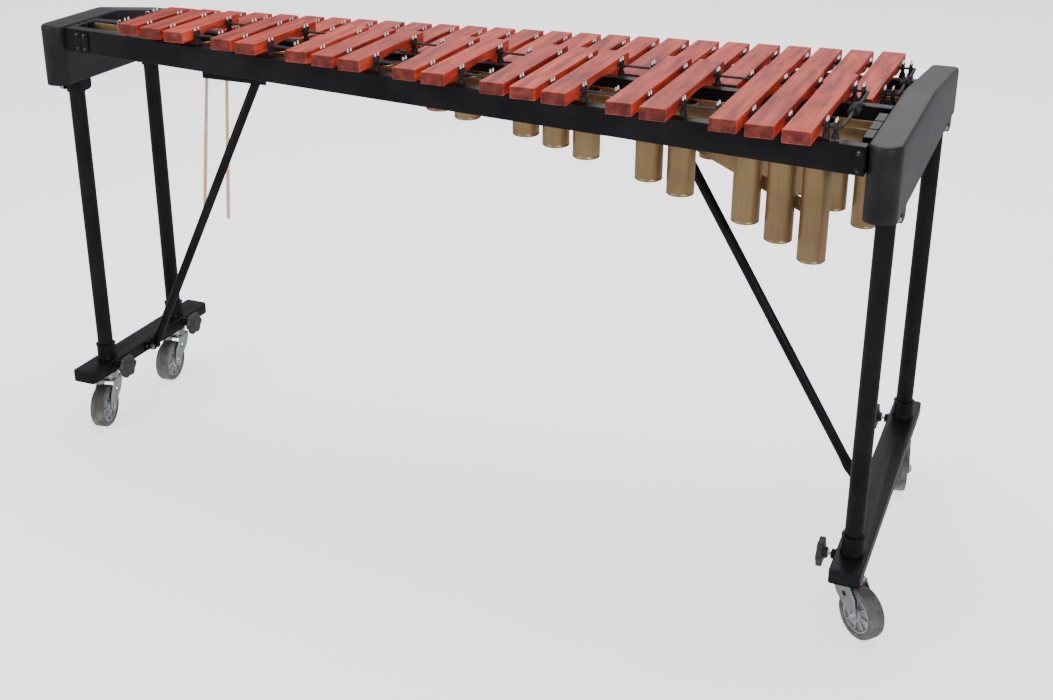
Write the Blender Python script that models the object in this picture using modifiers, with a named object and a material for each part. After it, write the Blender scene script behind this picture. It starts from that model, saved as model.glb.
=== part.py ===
"""Concert xylophone, three and a half octaves (F4 to C8), on a height-adjustable rolling stand.

X runs along the instrument, +X to the bass end. -Y is the row of accidentals, +Y the naturals.
Z is up, and the origin is on the floor under the middle of the whole instrument.
"""
import math

import bmesh
import bpy
from mathutils import Matrix, Vector

# ---- keyboard -------------------------------------------------------------------------------
MIDDLE_X = 0.0152              # middle of the footprint, from the middle of the keyboard frame
MIDDLE_Y = -0.0263
PITCH = 0.050                  # centre to centre of neighbouring naturals
F4_X = 0.638                   # centre of the lowest bar
NATURAL_COUNT = 26
BAR_WIDTH = 0.038
BAR_THICKNESS = 0.018
ARCH_DEPTH = 0.007             # the tuned hollow under each bar
NATURAL_TOP = 0.7695
ACCIDENTAL_TOP = 0.800
CORD_RADIUS = 0.002
TOUCH_GAP = 0.0003             # between pieces that touch

# Lines in plan, as (y at x = 0, slope): the ends of the bars and the rows of cord posts.
NATURAL_NEAR = (-0.057, 0.0)
NATURAL_FAR = (0.16675, 0.13472)
NATURAL_NEAR_POSTS = (-0.0068, 0.0302)
NATURAL_FAR_POSTS = (0.1165, 0.1043)
ACCIDENTAL_NEAR = (-0.2701, -0.15104)
ACCIDENTAL_FAR = (-0.040, 0.0)
ACCIDENTAL_NEAR_POSTS = (-0.2201, -0.1142)
ACCIDENTAL_FAR_POSTS = (-0.0872, -0.0192)

# Steps of each F-to-E octave that have an accidental above them, and where its bars are grouped.
ACCIDENTAL_STEPS = (0, 1, 2, 4, 5)
GROUP_STARTS = (0, 4, 7, 11, 14, 18, 21)
GROUP_NAMES = ("f4_b4", "c5_e5", "f5_b5", "c6_e6", "f6_b6", "c7_e7", "f7_c8")

# ---- frame ----------------------------------------------------------------------------------
CAP_WIDTH = 0.046
CAP_BOTTOM = 0.672
CAP_TOP = 0.777
CAP_BACK_TOP = 0.745           # the back half of the cap slopes down to this
CAP_WALL = 0.004
RAIL_WIDTH = 0.020
RAIL_HEIGHT = 0.040
RAIL_TO_BAR = 0.009            # air between a rail and the underside of its bars
POST_LENGTH = 0.006
FAST_POST = 0.24               # of a step, from the first post to the one the cord is made fast on
LEG_RADIUS = 0.014
LEG_BORE = 0.0145
LEG_TOP = 0.737                # up through the end member, into the hollow cap
MEMBER_BOTTOM = 0.699
MEMBER_TOP = 0.729
BEAM_TOP = 0.127
BEAM_THICKNESS = 0.022
BEAM_WIDTH = 0.047
COLLAR_HEIGHT = 0.030
ROUND_SIDES = 16

# The two ends of the stand: x of the cap, beam and legs, then their (front y, back y), where the brace
# stands and reaches, the plate on the front rail, and half the width of the resonator hangers.
ENDS = {
    "left": {"side": -1, "x": -0.7235, "cap": (-0.168, 0.166), "beam": (-0.180, 0.190), "legs": (-0.107, 0.110),
             "brace_y": -0.010, "top_x": -0.405, "plate": (-0.6755, -0.6605), "hanger": 0.0225},
    "right": {"side": 1, "x": 0.7165, "cap": (-0.315, 0.298), "beam": (-0.290, 0.310), "legs": (-0.228, 0.243),
              "brace_y": 0.006, "top_x": 0.334, "plate": (0.6780, 0.6920), "hanger": 0.0630},
}
BRACE_PIN_INSET = 0.015        # from the face of the beam to the pin
BRACE_PIN_Z = 0.118
BRACE_TOP_Z = 0.688
BRACE_RADIUS = 0.008
PIN_RADIUS = 0.003

# ---- resonators -----------------------------------------------------------------------------
TUBE_RADIUS = 0.0205
TUBE_WALL = 0.0018
TUBE_SIDES = 8
STRIP_HEIGHT = 0.022
STRIP_THICKNESS = 0.002
STRIP_SHORT = 0.0135           # from the end of a strip to the face of the cap
HANGER_STEP = 0.025            # reach of a hanger's lower step from the cap, and of its blocks
HANGER_BLOCK = 0.013
HANGER_GAP = 0.004
LENGTH_FACTOR = 0.90           # a tube stops short of a quarter of the bar's wavelength
SHORTEST_TUBE = 0.033
SPEED_OF_SOUND = 340.0
RESONATOR_BELOW_RAIL = 0.002

# ---- casters --------------------------------------------------------------------------------
WHEEL_RADIUS = 0.040
WHEEL_WIDTH = 0.025
HUB_WIDTH = 0.029
AXLE_RADIUS = 0.004
TRAIL = 0.033                  # wheel centre behind the swivel axis
FORK_INNER = 0.0160
FORK_PLATE = 0.002
SWIVEL_RADIUS = 0.019
CASTERS = {                    # end, leg (0 front, 1 back), and the way the wheel trails at rest, in degrees
    "left_front": ("left", 0, -76.0),
    "left_back": ("left", 1, -83.0),
    "right_front": ("right", 0, -40.0),
    "right_back": ("right", 1, -78.0),
}

# ---- mallets --------------------------------------------------------------------------------
MALLETS = {                    # x where the stick passes the holder, and its lean in x per metre of z
    "mallet_left": (-0.5932, 0.107),
    "mallet_right": (-0.5514, 0.071),
}
MALLET_Y = 0.112
HOLDER_Z = 0.700
STICK_RADIUS = 0.0035
STICK_LENGTH = 0.348
HEAD_RADIUS = 0.013

MATERIALS = {                  # colour, roughness, metallic
    "padauk": ((0.42, 0.09, 0.05), 0.42, 0.0),
    "black_frame": ((0.018, 0.018, 0.020), 0.45, 0.0),
    "black_plastic": ((0.030, 0.030, 0.033), 0.55, 0.0),
    "gold_anodised": ((0.56, 0.40, 0.20), 0.38, 0.9),
    "zinc": ((0.62, 0.64, 0.64), 0.28, 1.0),
    "rubber": ((0.10, 0.095, 0.09), 0.70, 0.0),
    "light_wood": ((0.70, 0.50, 0.30), 0.50, 0.0),
}


# ---- scene ----------------------------------------------------------------------------------
for old in list(bpy.data.objects):
    bpy.data.objects.remove(old, do_unlink=True)
PARTS = bpy.data.collections.new("xylophone")
CUTTERS = bpy.data.collections.new("cutters")
for collection in (PARTS, CUTTERS):
    bpy.context.scene.collection.children.link(collection)


def make_material(name):
    colour, roughness, metallic = MATERIALS[name]
    material = bpy.data.materials.new(name)
    material.use_nodes = True
    shader = material.node_tree.nodes["Principled BSDF"]
    shader.inputs["Base Color"].default_value = (*colour, 1.0)
    shader.inputs["Roughness"].default_value = roughness
    shader.inputs["Metallic"].default_value = metallic
    return material


FINISHES = {name: make_material(name) for name in MATERIALS}


# ---- shapes, each added to a bmesh ----------------------------------------------------------
def add_box(bm, low, high):
    size = [b - a for a, b in zip(low, high)]
    centre = [(a + b) / 2 for a, b in zip(low, high)]
    place = Matrix.Translation(centre) @ Matrix.Diagonal((*size, 1.0))
    bmesh.ops.create_cube(bm, size=1.0, matrix=place)


def add_cylinder(bm, start, end, radius, sides=ROUND_SIDES, end_radius=None):
    start = Vector(start)
    along = Vector(end) - start
    turn = Vector((0.0, 0.0, 1.0)).rotation_difference(along).to_matrix().to_4x4()
    place = Matrix.Translation(start + along / 2) @ turn
    far = radius if end_radius is None else end_radius
    bmesh.ops.create_cone(bm, cap_ends=True, segments=sides, radius1=radius, radius2=far,
                          depth=along.length, matrix=place)


def outline_mesh(points, thickness):
    """A flat outline in local XY, thickened along local Z about its plane."""
    curve = bpy.data.curves.new("outline", "CURVE")
    curve.dimensions = "2D"
    curve.fill_mode = "BOTH"
    curve.extrude = thickness / 2
    spline = curve.splines.new("POLY")
    spline.points.add(len(points) - 1)
    for point, (across, up) in zip(spline.points, points):
        point.co = (across, up, 0.0, 1.0)
    spline.use_cyclic_u = True
    holder = bpy.data.objects.new("outline", curve)
    CUTTERS.objects.link(holder)
    mesh = bpy.data.meshes.new_from_object(holder.evaluated_get(bpy.context.evaluated_depsgraph_get()))
    bpy.data.objects.remove(holder, do_unlink=True)
    merged = bmesh.new()
    merged.from_mesh(mesh)
    bmesh.ops.remove_doubles(merged, verts=merged.verts, dist=0.00002)
    bmesh.ops.recalc_face_normals(merged, faces=merged.faces)
    merged.to_mesh(mesh)
    merged.free()
    return mesh


# Local X, Y, Z of an outline laid in a vertical plane across the instrument, or along it.
ACROSS = Matrix(((0, 0, 1, 0), (1, 0, 0, 0), (0, 1, 0, 0), (0, 0, 0, 1)))
ALONG = Matrix(((1, 0, 0, 0), (0, 0, -1, 0), (0, 1, 0, 0), (0, 0, 0, 1)))


def add_outline(bm, points, thickness, place):
    mesh = outline_mesh(points, thickness)
    mesh.transform(place)
    bm.from_mesh(mesh)
    bpy.data.meshes.remove(mesh)


def rounded(half_x, reach_y, radius, steps=4):
    """A rectangle with round corners, running between two values of y."""
    middle = sum(reach_y) / 2
    half_y = (reach_y[1] - reach_y[0]) / 2
    points = []
    for turn, (sx, sy) in enumerate(((1, 1), (-1, 1), (-1, -1), (1, -1))):
        for step in range(steps + 1):
            angle = math.radians(90 * (turn + step / steps))
            points.append((sx * (half_x - radius) + radius * math.cos(angle),
                           middle + sy * (half_y - radius) + radius * math.sin(angle)))
    return points


# ---- objects --------------------------------------------------------------------------------
def new_object(name, bm, collection):
    mesh = bpy.data.meshes.new(name)
    bm.to_mesh(mesh)
    bm.free()
    obj = bpy.data.objects.new(name, mesh)
    collection.objects.link(obj)
    return obj


def part(name, bm, finish, pivot=None):
    """A named piece; a moving one gets its origin on its joint's axis."""
    obj = new_object(name, bm, PARTS)
    obj.data.materials.append(FINISHES[finish])
    if pivot is not None:
        obj.data.transform(Matrix.Translation(-Vector(pivot)))
        obj.location = pivot
    return obj


def combine(obj, operation, bm):
    """Join a shape to the object, or cut one out of it."""
    tool = new_object(obj.name + "_" + operation.lower(), bm, CUTTERS)
    tool.hide_render = True
    tool.display_type = "WIRE"
    modifier = obj.modifiers.new(operation.title(), "BOOLEAN")
    modifier.operation = operation
    modifier.object = tool
    modifier.solver = "EXACT"


def smooth(obj, angle=35.0):
    obj.data.shade_smooth()
    obj.data.set_sharp_from_angle(angle=math.radians(angle))


# ---- bars, cords and rails ------------------------------------------------------------------
def line_y(line, x):
    return line[0] + line[1] * x


def inner_face(end, width):
    """X just clear of the inner face of a cap or beam of this width."""
    return end["x"] - end["side"] * (width / 2 + TOUCH_GAP)


def note_x(step):
    """X of a natural by its count from F4, or of the accidental half a step above it."""
    return F4_X - PITCH * step


def add_bar(bm, x, near, far, top):
    """One bar, square ended, with the arch that tunes it cut along its underside."""
    y0 = line_y(near, x)
    y1 = line_y(far, x)
    bottom = top - BAR_THICKNESS
    length = y1 - y0
    arch_start = y0 + 0.27 * length
    arch_length = 0.46 * length
    points = [(y0, top), (y0, bottom)]
    for step in range(6):
        part_way = step / 5
        rise = ARCH_DEPTH * math.sin(math.pi * part_way)
        points.append((arch_start + arch_length * part_way, bottom + rise))
    points += [(y1, bottom), (y1, top)]
    add_outline(bm, points, BAR_WIDTH, Matrix.Translation((x, 0.0, 0.0)) @ ACROSS)


def add_cord(bm, line, x_from, x_to, z):
    half_gap = TOUCH_GAP / 2
    start = Vector((x_from - half_gap, line_y(line, x_from - half_gap), z))
    end = Vector((x_to + half_gap, line_y(line, x_to + half_gap), z))
    add_cylinder(bm, start, end, CORD_RADIUS, sides=6)


def build_bar_groups():
    """Bars threaded on their two cords, in the groups that the gaps in the upper row make."""
    ends = list(GROUP_STARTS[1:]) + [NATURAL_COUNT]
    for name, first, last in zip(GROUP_NAMES, GROUP_STARTS, ends):
        bars = bmesh.new()
        for step in range(first, last):
            add_bar(bars, note_x(step), NATURAL_NEAR, NATURAL_FAR, NATURAL_TOP)
        group = part("naturals_" + name, bars, "padauk")
        cords = bmesh.new()
        for line in (NATURAL_NEAR_POSTS, NATURAL_FAR_POSTS):
            add_cord(cords, line, note_x(first - 0.5), note_x(last - 0.5), NATURAL_TOP - BAR_THICKNESS / 2)
        combine(group, "UNION", cords)

        steps = [s for s in range(first, last) if s % 7 in ACCIDENTAL_STEPS and s + 1 < NATURAL_COUNT]
        bars = bmesh.new()
        for step in steps:
            add_bar(bars, note_x(step + 0.5), ACCIDENTAL_NEAR, ACCIDENTAL_FAR, ACCIDENTAL_TOP)
        group = part("accidentals_" + name, bars, "padauk")
        start = first - 0.5 if first else first
        stop = min(steps[-1] + 1.5, NATURAL_COUNT - 1.5)
        cords = bmesh.new()
        for line in (ACCIDENTAL_NEAR_POSTS, ACCIDENTAL_FAR_POSTS):
            add_cord(cords, line, note_x(start), note_x(stop), ACCIDENTAL_TOP - BAR_THICKNESS / 2)
        combine(group, "UNION", cords)


def post_steps(accidental):
    """Steps of the posts of a row; the cord is made fast on a second post close to the first."""
    if not accidental:
        return [-0.5 - FAST_POST] + [step - 0.5 for step in range(NATURAL_COUNT + 1)]
    steps = {-FAST_POST}
    for step in range(NATURAL_COUNT - 1):
        if step % 7 in ACCIDENTAL_STEPS:
            steps.update((step, step + 1))
    return sorted(steps)


def build_rail(name, line, bar_top, accidental):
    """A box rail, with a forked post between each pair of bars to carry the cord."""
    top = bar_top - BAR_THICKNESS - RAIL_TO_BAR
    cord_z = bar_top - BAR_THICKNESS / 2
    half = RAIL_WIDTH / 2
    x0, x1 = (inner_face(ENDS[name], CAP_WIDTH) for name in ("left", "right"))
    plan = [(x0, line_y(line, x0) - half), (x1, line_y(line, x1) - half),
            (x1, line_y(line, x1) + half), (x0, line_y(line, x0) + half)]
    bar = bmesh.new()
    add_outline(bar, plan, RAIL_HEIGHT, Matrix.Translation((0.0, 0.0, top - RAIL_HEIGHT / 2)))
    rail = part(name, bar, "black_frame")
    seat = cord_z - 0.0026
    fork = [(-0.0045, top - 0.002), (0.0045, top - 0.002), (0.0045, bar_top + 0.002), (0.0027, bar_top + 0.002),
            (0.0027, seat), (-0.0027, seat), (-0.0027, bar_top + 0.002), (-0.0045, bar_top + 0.002)]
    posts = bmesh.new()
    for step in post_steps(accidental):
        x = note_x(step)
        add_outline(posts, fork, POST_LENGTH, Matrix.Translation((x, line_y(line, x), 0.0)) @ ACROSS)
    combine(rail, "UNION", posts)


def build_rail_plates():
    """The plate that ties each end of the front rail to its end cap."""
    top = ACCIDENTAL_TOP - BAR_THICKNESS - RAIL_TO_BAR
    front = (ACCIDENTAL_NEAR_POSTS[0] - RAIL_WIDTH / 2 - TOUCH_GAP, ACCIDENTAL_NEAR_POSTS[1])
    for name, end in ENDS.items():
        x0, x1 = end["plate"]
        plan = [(x0, line_y(front, x0) - 0.0025), (x1, line_y(front, x1) - 0.0025),
                (x1, line_y(front, x1)), (x0, line_y(front, x0))]
        plate = bmesh.new()
        add_outline(plate, plan, 0.033, Matrix.Translation((0.0, 0.0, top - 0.0205)))
        part("front_rail_plate_" + name, plate, "black_frame")


# ---- end caps, their inner members and the legs ---------------------------------------------
def build_end_cap(name, end):
    """A moulded cover: level in front, sloping down behind, and open underneath."""
    half_x = CAP_WIDTH / 2
    body = bmesh.new()
    height = CAP_TOP - CAP_BOTTOM
    place = Matrix.Translation((end["x"], 0.0, CAP_BOTTOM + height / 2))
    add_outline(body, rounded(half_x, end["cap"], 0.019, steps=4), height, place)
    cap = part(name + "_end_cap", body, "black_plastic")
    slope = bmesh.new()
    back = end["cap"][1] + 0.02
    fall = (CAP_TOP - CAP_BACK_TOP) * back / end["cap"][1]
    wedge = [(0.0, CAP_TOP), (back, CAP_TOP - fall), (back, CAP_TOP + 0.02), (0.0, CAP_TOP + 0.02)]
    add_outline(slope, wedge, CAP_WIDTH + 0.02, Matrix.Translation((end["x"], 0.0, 0.0)) @ ACROSS)
    combine(cap, "DIFFERENCE", slope)
    hollow = bmesh.new()
    ceiling = CAP_BACK_TOP - 0.006
    depth = ceiling - CAP_BOTTOM + 0.01
    place = Matrix.Translation((end["x"], 0.0, ceiling - depth / 2))
    reach = (end["cap"][0] + CAP_WALL, end["cap"][1] - CAP_WALL)
    add_outline(hollow, rounded(half_x - CAP_WALL, reach, 0.015, steps=3), depth, place)
    combine(cap, "DIFFERENCE", hollow)


def build_end_member(name, end):
    """The steel bar hidden in the cap, bored for the legs, with a clamp block around each below it."""
    x = end["x"]
    front, back = end["legs"]
    bar = bmesh.new()
    half = CAP_WIDTH / 2 - CAP_WALL - TOUCH_GAP
    add_box(bar, (x - half, front - 0.024, MEMBER_BOTTOM), (x + half, back + 0.024, MEMBER_TOP))
    member = part(name + "_end_member", bar, "black_frame")
    sockets = bmesh.new()
    bores = bmesh.new()
    lugs = bmesh.new()
    for y in end["legs"]:
        add_box(sockets, (x - half, y - 0.018, CAP_BOTTOM - 0.001), (x + half, y + 0.018, MEMBER_BOTTOM + 0.002))
        add_box(lugs, (x - 0.0215, y - 0.0185, CAP_BOTTOM - 0.018),
                (x + 0.0215, y + 0.0185, CAP_BOTTOM - TOUCH_GAP))
        add_cylinder(bores, (x, y, CAP_BOTTOM - 0.03), (x, y, MEMBER_TOP + 0.01), LEG_BORE)
    combine(member, "UNION", sockets)
    combine(member, "UNION", lugs)
    combine(member, "DIFFERENCE", bores)


def build_legs(name, end):
    x = end["x"]
    for place, y in zip(("front", "back"), end["legs"]):
        bottom = BEAM_TOP - BEAM_THICKNESS + 0.002
        tube = bmesh.new()
        add_cylinder(tube, (x, y, bottom), (x, y, LEG_TOP), LEG_RADIUS)
        leg = part(name + "_" + place + "_leg", tube, "black_frame")
        bore = bmesh.new()
        add_cylinder(bore, (x, y, bottom - 0.01), (x, y, LEG_TOP + 0.01), LEG_RADIUS - 0.002, sides=12)
        combine(leg, "DIFFERENCE", bore)
        smooth(leg)


# ---- floor beams, knobs and braces ----------------------------------------------------------
KNOB_Z = 0.116
BOSS_LENGTH = 0.007
STUD_RADIUS = 0.0030


def build_beam(name, end):
    """The beam on the floor side of two legs, with a collar and a clamp boss for each."""
    side = end["side"]
    x = end["x"]
    face = x - side * BEAM_WIDTH / 2
    bottom = BEAM_TOP - BEAM_THICKNESS
    body = bmesh.new()
    place = Matrix.Translation((x, 0.0, (BEAM_TOP + bottom) / 2))
    add_outline(body, rounded(BEAM_WIDTH / 2, end["beam"], 0.006, steps=3), BEAM_THICKNESS, place)
    beam = part(name + "_floor_beam", body, "black_frame")
    additions = bmesh.new()
    cuts = bmesh.new()
    stud_holes = bmesh.new()
    for y in end["legs"]:
        add_cylinder(additions, (x, y, BEAM_TOP - 0.004), (x, y, BEAM_TOP + COLLAR_HEIGHT), LEG_BORE + 0.002)
        add_cylinder(additions, (face - side * BOSS_LENGTH, y, KNOB_Z), (face + side * 0.003, y, KNOB_Z),
                     0.0075, sides=12)
        add_cylinder(cuts, (x, y, bottom + 0.0015), (x, y, BEAM_TOP + 0.05), LEG_BORE)
        add_cylinder(stud_holes, (face - side * 0.02, y, KNOB_Z), (x, y, KNOB_Z), STUD_RADIUS + 0.0004, sides=12)
    combine(beam, "UNION", additions)
    combine(beam, "DIFFERENCE", cuts)
    combine(beam, "DIFFERENCE", stud_holes)


def build_knobs(name, end):
    """Six-lobed clamp knobs, each on a stud that bears on the leg inside the beam."""
    side = end["side"]
    face = end["x"] - side * (BEAM_WIDTH / 2 + BOSS_LENGTH)
    tip = end["x"] - side * (LEG_RADIUS + 0.0006)
    hub_start = face - side * 0.005
    for place, y in zip(("front", "back"), end["legs"]):
        pivot = (hub_start, y, KNOB_Z)
        outline = []
        for step in range(36):
            angle = 2 * math.pi * step / 36
            reach = 0.0190 + 0.0035 * math.cos(6 * angle)
            outline.append((reach * math.cos(angle), reach * math.sin(angle)))
        star = bmesh.new()
        middle = hub_start - side * 0.0105
        add_outline(star, outline, 0.009, Matrix.Translation((middle, y, KNOB_Z)) @ ACROSS)
        knob = part(name + "_" + place + "_knob", star, "black_plastic", pivot)
        stem = bmesh.new()
        add_cylinder(stem, (hub_start - side * 0.0075, y, KNOB_Z), (hub_start, y, KNOB_Z), 0.0095, sides=16)
        combine(knob, "UNION", stem)
        stud = bmesh.new()
        add_cylinder(stud, (hub_start - side * 0.003, y, KNOB_Z), (tip, y, KNOB_Z), STUD_RADIUS, sides=12)
        combine(knob, "UNION", stud)


def build_brace(name, end):
    """A diagonal tube, pinned to the beam below and sliding in a channel under the frame above."""
    side = end["side"]
    y = end["brace_y"]
    face = inner_face(end, BEAM_WIDTH)
    pin = Vector((face - side * BRACE_PIN_INSET, y, BRACE_PIN_Z))
    top = Vector((end["top_x"], y, BRACE_TOP_Z))
    along = (top - pin).normalized()
    tube = bmesh.new()
    add_cylinder(tube, pin + along * 0.014, top, BRACE_RADIUS, sides=16)
    brace = part(name + "_brace", tube, "black_frame", pin)
    eye = bmesh.new()
    half = 0.0065
    lean = math.atan2(along.x, along.z)
    points = []
    for step in range(9):
        angle = math.pi + math.pi * step / 8
        points.append((half * math.cos(angle), half * math.sin(angle)))
    points += [(half, 0.030), (-half, 0.030)]
    turned = Matrix.Translation(pin) @ Matrix.Rotation(lean, 4, "Y") @ ALONG
    add_outline(eye, points, 0.007, turned)
    combine(brace, "UNION", eye)
    shoe = bmesh.new()
    across = Vector((0.0, 0.010, 0.0))
    add_cylinder(shoe, top - across, top + across, 0.0045, sides=12)
    combine(brace, "UNION", shoe)
    hole = bmesh.new()
    across = Vector((0.0, 0.02, 0.0))
    add_cylinder(hole, pin - across, pin + across, PIN_RADIUS + 0.0004, sides=12)
    combine(brace, "DIFFERENCE", hole)

    channel = bmesh.new()
    rail_bottom = NATURAL_TOP - BAR_THICKNESS - RAIL_TO_BAR - RAIL_HEIGHT
    x0, x1 = sorted((end["top_x"] - side * 0.022, end["top_x"] + side * 0.108))
    ceiling = rail_bottom - TOUCH_GAP
    section = [(-0.015, ceiling), (0.015, ceiling), (0.015, 0.674), (0.0125, 0.674),
               (0.0125, ceiling - 0.0025), (-0.0125, ceiling - 0.0025), (-0.0125, 0.674), (-0.015, 0.674)]
    add_outline(channel, section, x1 - x0, Matrix.Translation(((x0 + x1) / 2, y, 0.0)) @ ACROSS)
    part(name + "_brace_channel", channel, "black_frame")

    clevis = bmesh.new()
    x0, x1 = sorted((face, face - side * 0.003))
    add_box(clevis, (x0, y - 0.013, 0.107), (x1, y + 0.013, 0.126))
    body = part(name + "_brace_clevis", clevis, "black_frame")
    ears = bmesh.new()
    x0, x1 = sorted((face - side * 0.001, pin.x - side * 0.008))
    for low, high in ((-0.0070, -0.0045), (0.0045, 0.0070)):
        add_box(ears, (x0, y + low, 0.109), (x1, y + high, 0.126))
    combine(body, "UNION", ears)
    pivot = bmesh.new()
    across = Vector((0.0, 0.009, 0.0))
    add_cylinder(pivot, pin - across, pin + across, PIN_RADIUS, sides=12)
    combine(body, "UNION", pivot)


# ---- casters --------------------------------------------------------------------------------
def build_caster(name, end, leg, trail_angle):
    """A swivel fork under the beam, and its wheel on the fork's axle."""
    beam_bottom = BEAM_TOP - BEAM_THICKNESS
    stem = Vector((end["x"], end["legs"][leg], 0.0))
    place = Matrix.Translation(stem) @ Matrix.Rotation(math.radians(trail_angle), 4, "Z")
    crown = 0.0835
    cheek = [(-0.018, crown), (0.020, crown), (0.034, 0.066), (TRAIL + 0.0085, 0.044), (TRAIL + 0.006, 0.034),
             (TRAIL - 0.001, 0.0315), (TRAIL - 0.0075, 0.035), (-0.006, 0.058), (-0.018, 0.076)]
    body = bmesh.new()
    outer = FORK_INNER + FORK_PLATE
    add_box(body, (-0.018, -outer, crown), (0.020, outer, crown + 0.003))
    bmesh.ops.transform(body, matrix=place, verts=body.verts)
    swivel = (stem.x, stem.y, beam_bottom)
    fork = part(name + "_fork", body, "zinc", swivel)
    for sign in (-1, 1):
        plate = bmesh.new()
        lifted = [(across, up + 0.001) if up == crown else (across, up) for across, up in cheek]
        offset = Matrix.Translation((0.0, sign * (FORK_INNER + FORK_PLATE / 2), 0.0))
        add_outline(plate, lifted, FORK_PLATE, place @ offset @ ALONG)
        combine(fork, "UNION", plate)
    head = bmesh.new()
    add_cylinder(head, stem + Vector((0, 0, crown + 0.002)), stem + Vector((0, 0, beam_bottom - TOUCH_GAP)),
                 SWIVEL_RADIUS - 0.003, end_radius=SWIVEL_RADIUS)
    combine(fork, "UNION", head)
    axle = bmesh.new()
    half = outer + 0.004
    add_cylinder(axle, place @ Vector((TRAIL, -half, WHEEL_RADIUS)), place @ Vector((TRAIL, half, WHEEL_RADIUS)),
                 AXLE_RADIUS, sides=16)
    combine(fork, "UNION", axle)

    # The wheel is a turned section, run from its top edge down the outer side.
    hub, tread = HUB_WIDTH / 2, WHEEL_WIDTH / 2
    bore = AXLE_RADIUS + 0.0003
    section = [(bore, hub), (0.011, hub), (0.013, 0.008), (0.027, 0.008), (0.029, tread), (0.036, tread),
               (WHEEL_RADIUS, tread - 0.006)]
    section += [(radius, -up) for radius, up in reversed(section)]
    ring = bpy.data.meshes.new(name + "_wheel")
    edges = [(i, (i + 1) % len(section)) for i in range(len(section))]
    ring.from_pydata([(radius, 0.0, up) for radius, up in section], edges, [])
    wheel = bpy.data.objects.new(name + "_wheel", ring)
    PARTS.objects.link(wheel)
    ring.materials.append(FINISHES["rubber"])
    turn = wheel.modifiers.new("Turned", "SCREW")
    turn.axis = "Z"
    turn.steps = 20
    turn.render_steps = 20
    turn.use_merge_vertices = True
    turn.merge_threshold = 0.00001
    turn.use_smooth_shade = True
    hub_place = Matrix.Translation((TRAIL, 0.0, WHEEL_RADIUS)) @ Matrix.Rotation(math.pi / 2, 4, "X")
    wheel.matrix_world = place @ hub_place


# ---- resonators -----------------------------------------------------------------------------
RESONATOR_LINES = {
    "natural": ((NATURAL_NEAR_POSTS[0] + NATURAL_FAR_POSTS[0]) / 2,
                (NATURAL_NEAR_POSTS[1] + NATURAL_FAR_POSTS[1]) / 2),
    "accidental": ((ACCIDENTAL_NEAR_POSTS[0] + ACCIDENTAL_FAR_POSTS[0]) / 2,
                   (ACCIDENTAL_NEAR_POSTS[1] + ACCIDENTAL_FAR_POSTS[1]) / 2),
}
F4_SEMITONES_FROM_A4 = -4
SEMITONES_FROM_F = (0, 2, 4, 6, 7, 9, 11)


def tube_length(step):
    """Length for a bar by its step from F4; a half step is the accidental above that natural."""
    natural = int(math.floor(step))
    semitones = 12 * (natural // 7) + SEMITONES_FROM_F[natural % 7] + (1 if step > natural else 0)
    frequency = 440.0 * 2 ** ((F4_SEMITONES_FROM_A4 + semitones) / 12)
    return max(SHORTEST_TUBE, LENGTH_FACTOR * SPEED_OF_SOUND / (4 * frequency))


def resonator_steps(row):
    if row == "natural":
        return [float(step) for step in range(NATURAL_COUNT)]
    return [step + 0.5 for step in range(NATURAL_COUNT - 1) if step % 7 in ACCIDENTAL_STEPS]


def resonator_top(row):
    bar_top = NATURAL_TOP if row == "natural" else ACCIDENTAL_TOP
    return bar_top - BAR_THICKNESS - RAIL_TO_BAR - RESONATOR_BELOW_RAIL


def build_resonators(row):
    """A bank of stopped tubes between two strips; the strips carry it."""
    line = RESONATOR_LINES[row]
    top = resonator_top(row)
    strips = bmesh.new()
    inner = TUBE_RADIUS - 0.001
    x0, x1 = (inner_face(ENDS[name], CAP_WIDTH + 2 * STRIP_SHORT) for name in ("left", "right"))
    for low, high in ((inner, inner + STRIP_THICKNESS), (-inner - STRIP_THICKNESS, -inner)):
        plan = [(x0, line_y(line, x0) + low), (x1, line_y(line, x1) + low),
                (x1, line_y(line, x1) + high), (x0, line_y(line, x0) + high)]
        add_outline(strips, plan, STRIP_HEIGHT, Matrix.Translation((0.0, 0.0, top - STRIP_HEIGHT / 2)))
    bank = part(row + "_resonators", strips, "gold_anodised")
    tubes = bmesh.new()
    bores = bmesh.new()
    for step in resonator_steps(row):
        x = note_x(step)
        y = line_y(line, x)
        bottom = top - tube_length(step)
        add_cylinder(tubes, (x, y, bottom), (x, y, top - 0.0005), TUBE_RADIUS, sides=TUBE_SIDES)
        add_cylinder(bores, (x, y, bottom + 0.002), (x, y, top + 0.01), TUBE_RADIUS - TUBE_WALL, sides=TUBE_SIDES)
    combine(bank, "UNION", tubes)
    combine(bank, "DIFFERENCE", bores)


def build_stiffener():
    """A flat stay riveted down the backs of the longest accidental tubes."""
    slope, start_x, end_x = RESONATOR_LINES["accidental"][1], 0.375, 0.622
    y = line_y(RESONATOR_LINES["accidental"], start_x) + TUBE_RADIUS + STRIP_THICKNESS + TOUCH_GAP
    run = (end_x - start_x) * math.hypot(1.0, slope)
    drop = 0.105
    points = [(0.0, 0.716), (0.0, 0.738), (run, 0.738 - drop), (run, 0.716 - drop)]
    stay = bmesh.new()
    place = Matrix.Translation((start_x, y, 0.0)) @ Matrix.Rotation(math.atan(slope), 4, "Z") @ ALONG
    add_outline(stay, points, 0.0015, place)
    part("resonator_stay", stay, "gold_anodised")


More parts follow.
